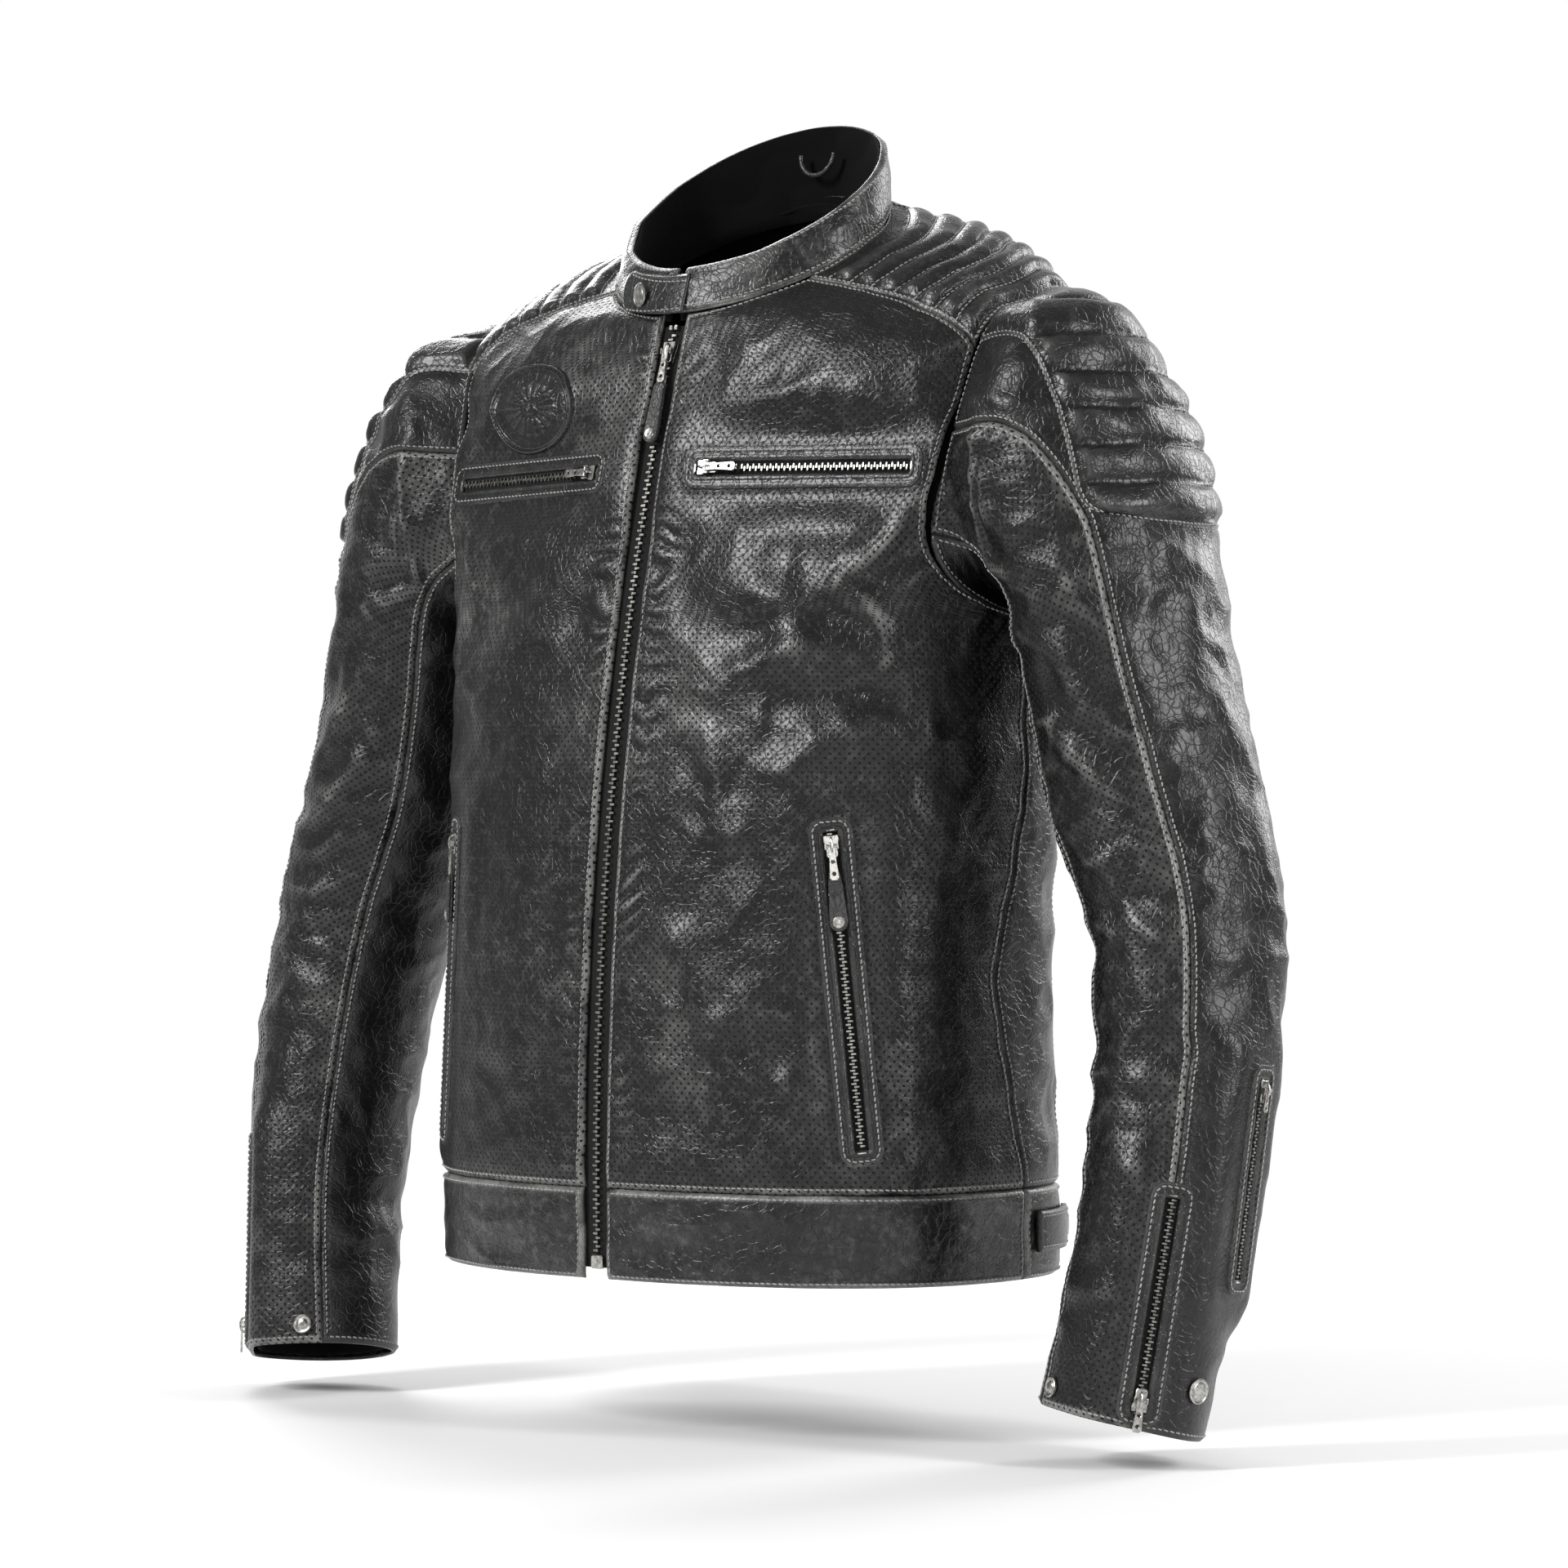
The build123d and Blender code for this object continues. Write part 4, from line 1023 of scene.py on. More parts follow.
rows = even_levels(body_base, 0.12, 10.9, 60, 6.0)
lv, an = row_grid(body_base, rows, np.full(len(rows), -86.0), np.full(len(rows), 266.0), 6.0)
base = body_base(lv, an)
slack = 0.5 * body_relief(lv, an, base) + 1.6 * (creases(base * [1, 1, 0.5], 40, 2.2) - 0.9)
lining_sheet("body_lining_cloth", body_base, body_normal, slack, lv, an, -9.0, "body_lining", "jacket", BODY_ZIPS)
for side in SIDES:
    rows = even_levels(sleeve_base, 0.25, SLEEVE_HIGH - 0.06, 10, 6.0)
    st, an = row_grid(sleeve_base, rows, np.full(len(rows), -180.0), np.full(len(rows), 180.0), 6.0)
    base = sleeve_base(st, an)
    slack = np.minimum(sleeve_relief(st, an, base, side), 0) - 1.0 * creases(base, 30, 4.0)
    lining_sheet(f"sleeve_lining_{side}_cloth", sleeve_base, sleeve_normal, slack, st, an, -5.5,
                 f"sleeve_lining_{side}", f"sleeve_{side}", SLEEVE_ZIPS, TURN[side])

# Pocket bags: levels, then angles on the left side, of a chest pocket and a hand pocket.
bags = []
for low, high, start, end in ((3.3, 5.1, -68, -34), (1.15, 2.9, -66, -24)):
    for side in SIDES:
        lv, an = row_grid(body_base, np.linspace(low, high, 40), np.full(40, float(start)), np.full(40, float(end)),
                          5.0)
        base = body_base(lv, an)
        swell = 1.2 * smooth(edge_distance(base) / 12)
        own = SIDES[side](an)
        here, out = body_base(lv, own), body_normal(lv, own)
        depth = np.minimum(body_relief(lv, own, here), 0) - 5.4 + swell
        bags.append((flatten(here + out * depth[..., None], BODY_ZIPS, -6.2), out))
parts = [shell_parts(p, n, 1.6) for p, n in bags]
counts = np.cumsum([0] + [len(verts) for verts, quad_rows in parts[:-1]])
bag_object = make_object("pocket_bags_cloth", np.concatenate([verts for verts, quad_rows in parts]),
                         np.concatenate([quad_rows + start for (verts, quad_rows), start in zip(parts, counts)]),
                         BAG)
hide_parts("pocket_bags")
PIECES["jacket"].append(bag_object)


# ------------------------------------------------------------------ small solids
def frame_of(origin, along, across, out):
    """A function that turns local points (along, across, out) into the part's frame."""
    rows = np.array([along, across, out], float)
    return lambda local: np.asarray(origin, float) + np.asarray(local, float) @ rows


def zip_place(z, x=0.0):
    """The frame on a zip's tape, x along it."""
    return frame_of(z["origin"] + z["along"] * x, z["along"], z["across"], z["out"])


def drawn_in(loop, amount):
    """A closed 2-D outline moved to its own inside by this much."""
    before, after = np.roll(loop, 1, 0), np.roll(loop, -1, 0)
    a, b = unit(loop - before), unit(after - loop)
    left = unit(np.stack([-(a + b)[:, 1], (a + b)[:, 0]], -1))
    stretch = 1 / np.maximum(np.abs((left * np.stack([-a[:, 1], a[:, 0]], -1)).sum(-1)), 0.5)
    return loop + left * amount * stretch[:, None]


def plate(outer, low, high, place, holes=(), bevel=0.3):
    """A flat solid with this counter-clockwise outline, round holes and bevelled edges."""
    verts, faces, caps = [], [], []
    loops = [(np.asarray(outer, float), bevel)]
    for (x, y), radius in holes:
        t = np.linspace(0, 2 * np.pi, 20, endpoint=False)
        loops.append((np.stack([x + radius * np.cos(-t), y + radius * np.sin(-t)], -1), bevel))
    for loop, cut in loops:
        n, start = len(loop), len(verts)
        for ring, z in ((drawn_in(loop, cut), low), (loop, low + cut), (loop, high - cut),
                        (drawn_in(loop, cut), high)):
            verts += [(x, y, z) for x, y in ring]
        for k in range(3):
            for i in range(n):
                a, b = start + k * n + i, start + k * n + (i + 1) % n
                faces.append((a, b, b + n, a + n))
        caps.append((start, n))
    flat = [[Vector((*verts[s + 3 * n + i][:2], 0)) for i in range(n)] for s, n in caps]
    index = [(s, n, i) for s, n in caps for i in range(n)]
    for a, b, c in tessellate_polygon(flat):
        tri = [index[k] for k in (a, b, c)]
        p = [np.array(verts[s + i][:2]) for s, n, i in tri]
        turn = (p[1] - p[0])[0] * (p[2] - p[0])[1] - (p[1] - p[0])[1] * (p[2] - p[0])[0]
        tri = tri if turn > 0 else tri[::-1]
        faces.append(tuple(s + 3 * n + i for s, n, i in tri))
        faces.append(tuple(s + i for s, n, i in tri[::-1]))
    return place(np.array(verts)), faces


def rounded(x0, x1, y0, y1, radius, steps=5):
    """A rectangle with rounded corners, counter-clockwise."""
    points = []
    left, right, low, high = x0 + radius, x1 - radius, y0 + radius, y1 - radius
    for cx, cy, start in ((right, low, -90), (right, high, 0), (left, high, 90), (left, low, 180)):
        t = np.radians(start + np.linspace(0, 90, steps))
        points += list(zip(cx + radius * np.cos(t), cy + radius * np.sin(t)))
    return np.array(points)


def lathe(profile, place, segments=40):
    """A turned solid: (radius, height) pairs from the bottom axis to the top axis."""
    profile = np.array(profile, float)
    t = np.linspace(0, 2 * np.pi, segments, endpoint=False)
    inner = profile[1:-1]
    verts = [(0, 0, profile[0][1]), (0, 0, profile[-1][1])]
    for r, h in inner:
        verts += list(zip(r * np.cos(t), r * np.sin(t), [h] * segments))
    faces = []
    for k in range(len(inner) - 1):
        for i in range(segments):
            a, b = 2 + k * segments + i, 2 + k * segments + (i + 1) % segments
            faces.append((a, b, b + segments, a + segments))
    last = 2 + (len(inner) - 1) * segments
    for i in range(segments):
        j = (i + 1) % segments
        faces.append((0, 2 + j, 2 + i))
        faces.append((1, last + i, last + j))
    return place(np.array(verts)), faces


def merged(name, parts, material):
    """One object from several (vertices, faces) parts."""
    verts, faces, start = [], [], 0
    for v, f in parts:
        verts.append(np.asarray(v))
        faces += [tuple(int(i) + start for i in face) for face in f]
        start += len(v)
    obj = make_object(name, np.concatenate(verts), faces, material)
    for polygon in obj.data.polygons:
        polygon.use_smooth = False
    return obj


def tidy_turn(obj):
    """Faces outward, soft edges smooth and sharp ones sharp."""
    work = bmesh.new()
    work.from_mesh(obj.data)
    bmesh.ops.recalc_face_normals(work, faces=work.faces)
    for face in work.faces:
        face.smooth = True
    for edge in work.edges:
        edge.smooth = len(edge.link_faces) == 2 and edge.calc_face_angle(3) < math.radians(38)
    work.to_mesh(obj.data)
    work.free()
    return obj


def tube(path, radius, sides=10, closed=False):
    """Vertices and quads of a round bar along a path."""
    path = np.asarray(path, float)
    ahead = unit(np.gradient(path, axis=0)) if not closed else unit(np.roll(path, -1, 0) - np.roll(path, 1, 0))
    guide = np.array([0.0, 1, 0]) if abs(ahead[0] @ [0, 1, 0]) < 0.9 else np.array([1.0, 0, 0])
    side = unit(np.cross(ahead, guide))
    up = np.cross(side, ahead)
    t = np.linspace(0, 2 * np.pi, sides, endpoint=False)
    radius = np.broadcast_to(radius, len(path))
    round_it = side[:, None] * np.cos(t)[None, :, None] + up[:, None] * np.sin(t)[None, :, None]
    rings = path[:, None] + radius[:, None, None] * round_it
    n = len(path)
    faces = []
    for k in range(n if closed else n - 1):
        for i in range(sides):
            a, b = k * sides + i, k * sides + (i + 1) % sides
            c = (k + 1) % n * sides
            faces.append((a, b, c + (i + 1) % sides, c + i))
    if not closed:
        faces += [tuple(range(sides))[::-1], tuple((n - 1) * sides + i for i in range(sides))]
    return rings.reshape(-1, 3), faces


# ------------------------------------------------------------------ zips
def slider_parts(place, rail=1.8):
    """Crown, flanges and back plate of a slider centred on the place given, and its bridge."""
    top = rail + 0.4
    shield = np.array([(6.5, -2.6), (6.5, 2.6), (5.2, 3.4), (1.5, 3.3), (-3.6, 4.5), (-6.0, 4.5), (-6.5, 3.6),
                       (-6.1, 0.8), (-6.1, -0.8), (-6.5, -3.6), (-6.0, -4.5), (-3.6, -4.5), (1.5, -3.3),
                       (5.2, -3.4)])
    parts = [plate(shield, top, top + 1.2, place, bevel=0.35), plate(shield, -2.4, -1.3, place, bevel=0.3)]
    for side in (-1, 1):
        flange = [(6.0, side * 2.7), (1.5, side * 3.25), (-3.4, side * 4.3), (-6.0, side * 4.3)]
        inner = [(x, y - side * 0.9) for x, y in flange[::-1]]
        loop = np.array(flange + inner)
        parts.append(plate(loop if side < 0 else loop[::-1], 0.5, top + 0.1, place, bevel=0.12))
        lug = rounded(-1.9, 1.9, side * 3.6 - 0.55, side * 3.6 + 0.55, 0.5)
        parts.append(plate(lug, top + 1.0, top + 3.5, place, bevel=0.3))
    t = np.linspace(0, np.pi, 13)
    arch = np.stack([4.6 * np.cos(t) - 0.2, 0 * t, top + 1.0 + 2.9 * np.sin(t) ** 0.8], -1)
    verts, faces = tube(place(arch), 0.75, 8)
    return parts + [(verts, faces)]


def pull_parts(place, reach, side, rise):
    """The metal tab with its two holes, and the bar it turns on."""
    x1 = reach - 0.2
    outline = np.array([(-1.4, -1.9), (1.2, -2.4), (x1 * 0.35, -2.0), (x1 - 1.4, -2.75), (x1, -1.6), (x1, 1.6),
                        (x1 - 1.4, 2.75), (x1 * 0.35, 2.0), (1.2, 2.4), (-1.4, 1.9)])
    outline[:, 0] *= side
    if side < 0:
        outline = outline[::-1]
    holes = [((side * reach * 0.45, 0), 1.1), ((side * reach * 0.8, 0), 1.1)]
    bar = tube(place(np.array([[0, y, rise] for y in np.linspace(-2.75, 2.75, 5)])), 1.0, 12)
    return [plate(outline, rise - 0.65, rise + 0.65, place, holes, 0.22), bar]


def strap_parts(place, start, length, rise):
    """A pull's leather strap in two layers with a rounded end, and its rivet."""
    t = np.radians(np.linspace(-90, 90, 15))
    far = start + length
    outline = [(start - 5.0, -3.1), (start + 2, -4.1), *zip(far + 5.4 * np.cos(t), 5.4 * np.sin(t)),
               (start + 2, 4.1), (start - 5.0, 3.1)]
    under = plate(np.array(outline), rise - 1.9, rise - 0.55, place, [((far, 0), 1.9)], 0.35)
    over = [(x if x > start else start + 0.6, y) for x, y in outline]
    upper = plate(np.array(over), rise - 0.55, rise + 1.0, place, [((far, 0), 1.9)], 0.45)
    rivet = lathe([(0, -2.4), (2.3, -2.4), (2.5, -2.1), (2.5, -1.8), (1.8, -1.7), (1.8, 1.0), (3.5, 1.0),
                   (3.6, 1.3), (3.1, 1.75), (1.7, 1.6), (1.5, 1.2), (0.8, 1.25), (0, 1.3)],
                  lambda local: place(np.asarray(local) + [far, 0, rise]), 28)
    return [under, upper], rivet


def teeth_parts(place_at, length, pitch, wide, tall, start=0.0):
    """Two rows of interlocked teeth along a zip; place_at turns local points into the part's frame."""
    verts, faces = [], []
    count = int(length / pitch)
    half = pitch * 0.4
    for k in range(count):
        x = start + (k + 0.5) * pitch
        side = 1 if k % 2 else -1
        y0, y1 = side * wide / 2, -side * 0.75
        box = np.array([(x - half * 0.62, y0, 0.0), (x + half * 0.62, y0, 0.0), (x + half, side * 0.4, 0.0),
                        (x + half, y1, 0.0), (x - half, y1, 0.0), (x - half, side * 0.4, 0.0)])
        top = box * [1, 1, 0] + [0, 0, tall]
        top[:, 1] *= 0.9
        top[:, 0] = x + (top[:, 0] - x) * 0.75
        s = len(verts)
        verts += list(box) + list(top)
        faces += [(s + i, s + (i + 1) % 6, s + 6 + (i + 1) % 6, s + 6 + i) for i in range(6)]
        faces += [(s + 6, s + 7, s + 8, s + 11), (s + 8, s + 9, s + 10, s + 11), (s + 5, s + 2, s + 1, s),
                  (s + 5, s + 4, s + 3, s + 2)]
    return place_at(np.array(verts)), faces


def welt_sheet(z):
    """The rolled leather lip all round a zip's opening, and the line of its stitches."""
    loop = rounded(0.2, z["length"] - 0.2, -6.0, 6.0, 2.0, 5)
    dense = []
    for a, b in zip(loop, np.roll(loop, -1, 0)):
        steps = max(1, int(np.linalg.norm(b - a) / 3))
        dense += [a + (b - a) * t for t in np.arange(steps) / steps]
    loop = np.array(dense)
    profile = [(-1.9, -1.2), (-2.1, 0.3), (-1.8, 1.5), (-0.9, 2.25), (0.4, 2.55), (1.6, 2.3), (2.2, 2.1),
               (3.4, 2.5), (5.2, 2.55), (6.6, 2.2), (7.1, 1.4), (7.2, -0.5), (2.0, -1.4)]
    wobble = 0.18 * np.sin(np.arange(len(loop)) * 0.9 + 0.6 * np.sin(np.arange(len(loop)) * 0.37))
    rings = np.stack([np.concatenate([drawn_in(loop, -d), np.full((len(loop), 1), h)
                                      + (wobble[:, None] if h > 1 else 0)], 1) for d, h in profile], 1)
    n, m = len(loop), len(profile)
    faces = [(i * m + j, (i + 1) % n * m + j, (i + 1) % n * m + (j + 1) % m, i * m + (j + 1) % m) for i in range(n)
             for j in range(m)]
    row = np.concatenate([drawn_in(loop, -4.4), np.full((len(loop), 1), 2.7)], 1)
    return zip_place(z)(rings.reshape(-1, 3)), faces, zip_place(z)(np.concatenate([row, row[:1]]))


def finish(name, parts, material, body, nodes=()):
    """A solid piece of a body; on a sleeve it stays rigid."""
    obj = tidy_turn(merged(name, parts, material))
    if nodes:
        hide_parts(*nodes)
    PIECES.setdefault(body if not body.startswith("sleeve") else "hard_" + body, []).append(obj)
    return obj


LINES = {"jacket": [], "sleeve_left": [], "sleeve_right": []}       # rows of stitches by body


def sew(body, points, normals):
    """Adds a row of stitches along a line on the leather."""
    LINES.setdefault(body, []).append((np.asarray(points, float), np.asarray(normals, float)))


PULL_REACHES = {"chest": 20.0, "hand": 20.0, "cuff": 18.0, "vent": 12.0}
welts, tapes, chains, ends = [], {}, {}, {}
for (name, side), z in ZIPS.items():
    body = f"sleeve_{side}" if name in ("cuff", "vent") else "jacket"
    place = zip_place(z)
    verts, faces, row = welt_sheet(z)
    welts.append((body, (verts, faces)))
    sew(body, row, np.tile(z["out"], (len(row), 1)))
    tapes.setdefault(body, []).append(plate(rounded(-1.5, z["length"] + 1.5, -6.4, 6.4, 0.5, 2), -0.9, -0.05, place,
                                            bevel=0.1))
    chains.setdefault(body, []).append(teeth_parts(place, z["length"] - 4, 1.9, 4.8, 1.75, 2.0))
    for x in (-0.9, z["length"] - 1.1):
        ends.setdefault(body, []).append(plate(rounded(x, x + 2.0, -2.6, 2.6, 0.5, 3), -0.1, 2.3, place, bevel=0.3))
    here = zip_place(z, SLIDER_AT[name])
    slider_body, pull_body = f"{name}_slider_{side}", f"{name}_pull_{side}"
    pulls = pull_parts(here, PULL_REACHES[name], z["pull"], BRIDGE)
    if name == "vent":
        finish(f"vent_slider_metal_{side}", slider_parts(here) + pulls, METAL, slider_body, [slider_body])
        continue
    finish(f"{name}_slider_metal_{side}", slider_parts(here), METAL, slider_body, [slider_body])
    finish(f"{name}_pull_metal_{side}", pulls, METAL, pull_body, [pull_body])
    if name == "hand":
        leathers, rivet = strap_parts(here, PULL_REACHES[name], 24.0, BRIDGE)
        finish(f"hand_pull_leather_{side}", leathers, TRIM, pull_body)
        finish(f"hand_pull_rivet_{side}", [rivet], METAL, pull_body)
for body, node in (("jacket", "pocket_zips"), ("sleeve_left", "sleeve_zips_left"),
                   ("sleeve_right", "sleeve_zips_right")):
    label = node.replace("zips", "zip")
    finish(f"{label}_tapes", tapes[body], TAPE, body, [node])
    finish(f"{label}_teeth", chains[body], TEETH, body, [node])
    finish(f"{label}_stops", ends[body], METAL, body, [node])
    own = [part for owner, part in welts if owner == body]
    finish(f"{label}_welts", own, TRIM, body, ["pocket_welts"] if body == "jacket" else [node])

# The centre zip follows the arc of the front edge. These are heights, and the pull's own sizes.
TAPE_TOP = 4.2              # from the front line back to the face of its tape
TAPE_ENDS, CHAIN_START, CHAIN_LENGTH, CHAIN_PITCH = (6.5, 565.5), 15.5, 546.0, 2.5
STOP_LOW, STOP_HIGH, MAIN_Z, MAIN_RISE, PULL_REACH = 10.0, 564.0, 549.0, 5.3, 20.0


def centre_place(local):
    """Local (height up the zip from z = 0, x, distance in front of the tape) in the part's frame."""
    local = np.asarray(local, float)
    turn = np.arcsin((local[..., 0] - FRONT_Z) / FRONT_R)
    reach = FRONT_R - TAPE_TOP + local[..., 2]
    return np.stack([local[..., 1], FRONT_Y - reach * np.cos(turn), FRONT_Z + reach * np.sin(turn)], -1)


def centre_frame(z):
    """A frame at height z of the centre zip whose first axis runs down it."""
    turn = math.asin((z - FRONT_Z) / FRONT_R)
    down, out = np.array([0, -math.sin(turn), -math.cos(turn)]), np.array([0, -math.cos(turn), math.sin(turn)])
    origin = centre_place([z, 0, 0])
    return frame_of(origin, down, np.cross(out, down), out)


for side in SIDES:
    sign = TURN[side][0]
    heights = np.linspace(*TAPE_ENDS, 200)
    profile = np.array([(0.3, -0.9), (0.3, -0.1), (2.2, 0.1), (3.2, -0.05), (9.0, -0.1), (15.2, -0.2),
                        (15.2, -0.9)])
    grid = np.array([[(h, sign * x, up) for x, up in profile] for h in heights])
    n, m = grid.shape[:2]
    faces = [(i * m + j, i * m + (j + 1) % m, (i + 1) * m + (j + 1) % m, (i + 1) * m + j) for i in range(n - 1)
             for j in range(m)]
    faces += [tuple(range(m))[::-1], tuple((n - 1) * m + j for j in range(m))]
    finish(f"centre_tape_{side}", [(centre_place(grid.reshape(-1, 3)), faces)], TAPE, "jacket",
           [f"zip_tape_{side}"])
verts, faces = teeth_parts(centre_place, CHAIN_LENGTH, CHAIN_PITCH, 6.0, 2.0, CHAIN_START)
half = len(faces) // 10
for k, side in enumerate(("left", "right")):
    own = [f for i in range(half) if (i % 2 == 1) == (side == "left") for f in faces[i * 10:i * 10 + 10]]
    used = sorted({v for f in own for v in f})
    index = {v: i for i, v in enumerate(used)}
    finish(f"centre_teeth_{side}", [(verts[used], [tuple(index[v] for v in f) for f in own])], TEETH, "jacket",
           [f"zip_teeth_{side}"])
low = centre_frame(STOP_LOW)
stops = [plate(rounded(-4, 4, -4.4, 4.4, 1.2), 0.0, 2.7, low, bevel=0.5),
         plate(rounded(-3, 2.2, -0.6, 0.6, 0.3, 3), 2.4, 3.1, low, bevel=0.2)]
top = centre_frame(STOP_HIGH)
for side in (-1, 1):
    stops.append(plate(rounded(-1.5, 1.5, side * 2 - 1.3, side * 2 + 1.3, 0.5, 3), 0.0, 3.0, top, bevel=0.4))
finish("centre_stops", stops, METAL, "jacket", ["zip_stops"])
here = centre_frame(MAIN_Z)
finish("main_slider_metal", slider_parts(here, 2.0), METAL, "main_slider", ["main_slider"])
finish("main_pull_metal", pull_parts(here, PULL_REACH, 1, MAIN_RISE), METAL, "main_pull", ["main_pull"])
leathers, rivet = strap_parts(here, PULL_REACH, 32.0, MAIN_RISE)
finish("main_pull_leather", leathers, TRIM, "main_pull", ["main_pull_strap"])
finish("main_pull_rivet", [rivet], METAL, "main_pull")

# ------------------------------------------------------------------ collar tab, badge, loop, straps and snaps
SNAP = [(0, -1.0), (6.6, -1.0), (7.2, -0.6), (7.5, 0.1), (7.3, 0.75), (6.6, 1.0), (6.1, 0.7), (5.5, 0.62),
        (5.0, 0.95), (4.0, 1.15), (2.2, 1.25), (0, 1.3)]
STUD = [(0, -1.2), (5.6, -1.2), (6.0, -0.8), (5.9, 0.3), (5.2, 0.7), (4.3, 0.5), (3.6, 0.1), (3.1, 0.3), (2.6, 1.1),
        (1.6, 1.4), (0, 1.4)]


def spot(position, out):
    """A frame standing on a spot of the leather."""
    out = unit(np.asarray(out, float))
    side = unit(np.cross([0, 0, 1.0], out))
    return frame_of(position, side, np.cross(out, side), out)


def strip_grid(rows, ring_of, angles_of, rise):
    """Rows of points that stand off rings of the body, and their outward directions.

    ring_of takes a row's share of the width; angles_of takes the ring and how far the rounded tip draws in.
    """
    grid, outs = [], []
    for r in range(rows):
        f = r / (rows - 1)
        ring = ring_of(f)
        angles = angles_of(ring, 1 - math.sqrt(max(0.0, 1 - (2 * f - 1) ** 2 * 0.97)))
        grid.append(ring_point(ring, angles, -rise))
        outs.append(unit(grid[-1] - ring_point(ring, angles, 0.0)))
    return np.array(grid), np.array(outs)


def sewn_edge(grid, rise, groove):
    """How far a strip stands up inside its edge, less the groove of its stitches."""
    gap = edge_distance(grid)
    return (rise * smooth(gap / 1.8) - groove * bell(gap, STRIP_MARGIN, 0.8))[..., None]


def tab_angles(ring, drawn):
    tip, end = -46.0 + 9.5 * drawn, 9.0     # x of the tab's free end and of its sewn end
    fine = np.linspace(-150, -60, 1801)
    return np.interp(tip + (end - tip) * np.linspace(0, 1, 34), ring_point(ring, fine)[:, 0], fine)


STRIP_MARGIN = 3.2          # from the edge of a tab or strap to its stitches
TAB_LOW, TAB_HIGH = np.array([(575, 76, 660, 87, 2.0), (598, 76, 693, 83, 2.0)])
tab_grid, tab_out = strip_grid(15, lambda f: TAB_LOW * (1 - f) + TAB_HIGH * f, tab_angles, 7.0)
points = tab_grid + tab_out * sewn_edge(tab_grid, 0.9, 0.45) * 0.6
add_sheet("collar_tab_leather", points, tab_out, TRIM, 2.6, "collar_tab", ["collar_tab"], "lbt", (STRIP_MARGIN,))
cap_low, cap_high = box_mm("collar_snap_cap")
cap_at = (cap_low + cap_high) / 2
finish("collar_snap_metal", [lathe(SNAP, spot(cap_at, cap_at * [1, 1, 0] - [0, -6, 0]))], METAL, "collar_tab",
       ["collar_snap_cap"])

t = np.linspace(0, np.pi, 25)
arc = np.stack([-13 * np.cos(t), 66 - 2 * np.sin(t), 678 - 13 * np.sin(t)], -1)
finish("hang_loop_cord", [tube(arc, 1.5 + 0.12 * np.sin(np.arange(25) * 1.9), 12)], TRIM, "hang_loop",
       ["hang_loop"])

# Embossed oval on the wearer's right: two raised rims, a plain rope border and a fluted middle.
BADGE_HALVES, BADGE_SHIFT = (41.0, 27.0), [-4, 0, 5]
low, high = box_mm("chest_badge")
badge_at = (low + high) / 2 + BADGE_SHIFT
badge_level = level_at(badge_at[2])
badge_angle = 180 - float(angle_at(np.array([badge_level]), -badge_at[0])[0])
badge_out = body_normal(badge_level, badge_angle)
z = ZIPS["chest", "right"]
badge_x = unit(z["along"] - badge_out * (z["along"] @ badge_out))
badge_y = np.cross(badge_out, badge_x)
badge_y = badge_y if badge_y[2] > 0 else -badge_y
rho = np.concatenate([np.linspace(0, 0.8, 34), np.linspace(0.815, 1.0, 18)])[:, None]
phi = np.linspace(0, 2 * np.pi, 145)[None]
rim = 1.7 * bell(rho, 0.95, 0.026) + 0.8 * bell(rho, 0.865, 0.018)
rope = 0.5 * bell(rho, 0.77, 0.035) * (0.5 + 0.5 * np.sin(40 * phi + 22 * rho))
flute = (0.5 + 0.5 * np.cos(18 * phi)) * smooth((rho - 0.2) / 0.08) * smooth((0.62 - rho) / 0.06)
motif = 0.8 * flute + 0.9 * smooth((0.17 - rho) / 0.05)
height = rim + rope + motif + 0.15 - 1.6 * smooth((rho - 0.985) / 0.015)
bx, by = BADGE_HALVES[0] * rho * np.cos(phi), BADGE_HALVES[1] * rho * np.sin(phi)
flat = badge_at + bx[..., None] * badge_x + by[..., None] * badge_y
lv = level_at(flat[..., 2])
# The body's angle over the badge, as a quadratic fitted to every few of its points.
some = (slice(None, None, 6), slice(None, None, 12))
an = 180 - np.array([[float(angle_at(np.array([l]), -x)[0]) for l, x in zip(ls, xs)]
                     for ls, xs in zip(lv[some], flat[some][..., 0])])
u, v = bx[some].ravel(), by[some].ravel()
span = np.linalg.lstsq(np.stack([u, v, u**2, u * v, v**2, np.ones(an.size)], 1), an.ravel(), rcond=None)[0]
angles = span[0] * bx + span[1] * by + span[2] * bx**2 + span[3] * bx * by + span[4] * by**2 + span[5]
points, normals = body_skin(lv, angles, height + 0.7)
add_sheet("chest_badge_embossed", points, normals, TRIM, 1.6, "jacket", ["chest_badge"])

# Waist straps with their caps, and the studs they snap to.
STRAP_RING = (28, 139.5, 28, 198.3, 2.4)        # through the middle of a strap
for side in SIDES:
    grid, outs = strip_grid(13, lambda f: (16 + 24 * f, 140 - f, 16 + 24 * f, 198 + 0.6 * f, 2.4),
                            lambda ring, drawn: np.linspace(8, 38 - 2.6 * drawn, 50), 5.2)
    grid, outs = grid * TURN[side], outs * TURN[side]
    points = grid + outs * sewn_edge(grid, 0.7, 0.4)
    strap = f"waist_strap_{side}"
    add_sheet(f"waist_strap_leather_{side}", points, outs, TRIM, 2.6, strap, [strap], "rbt", (STRIP_MARGIN,))
    cap, base = (ring_point(STRAP_RING, 33.0, inset) * TURN[side] for inset in (-5.7, 0.0))
    smaller = np.array(SNAP) * [0.86, 0.9]
    finish(f"waist_strap_cap_{side}", [lathe(smaller, spot(cap, cap - base))], METAL, strap)
studs = []
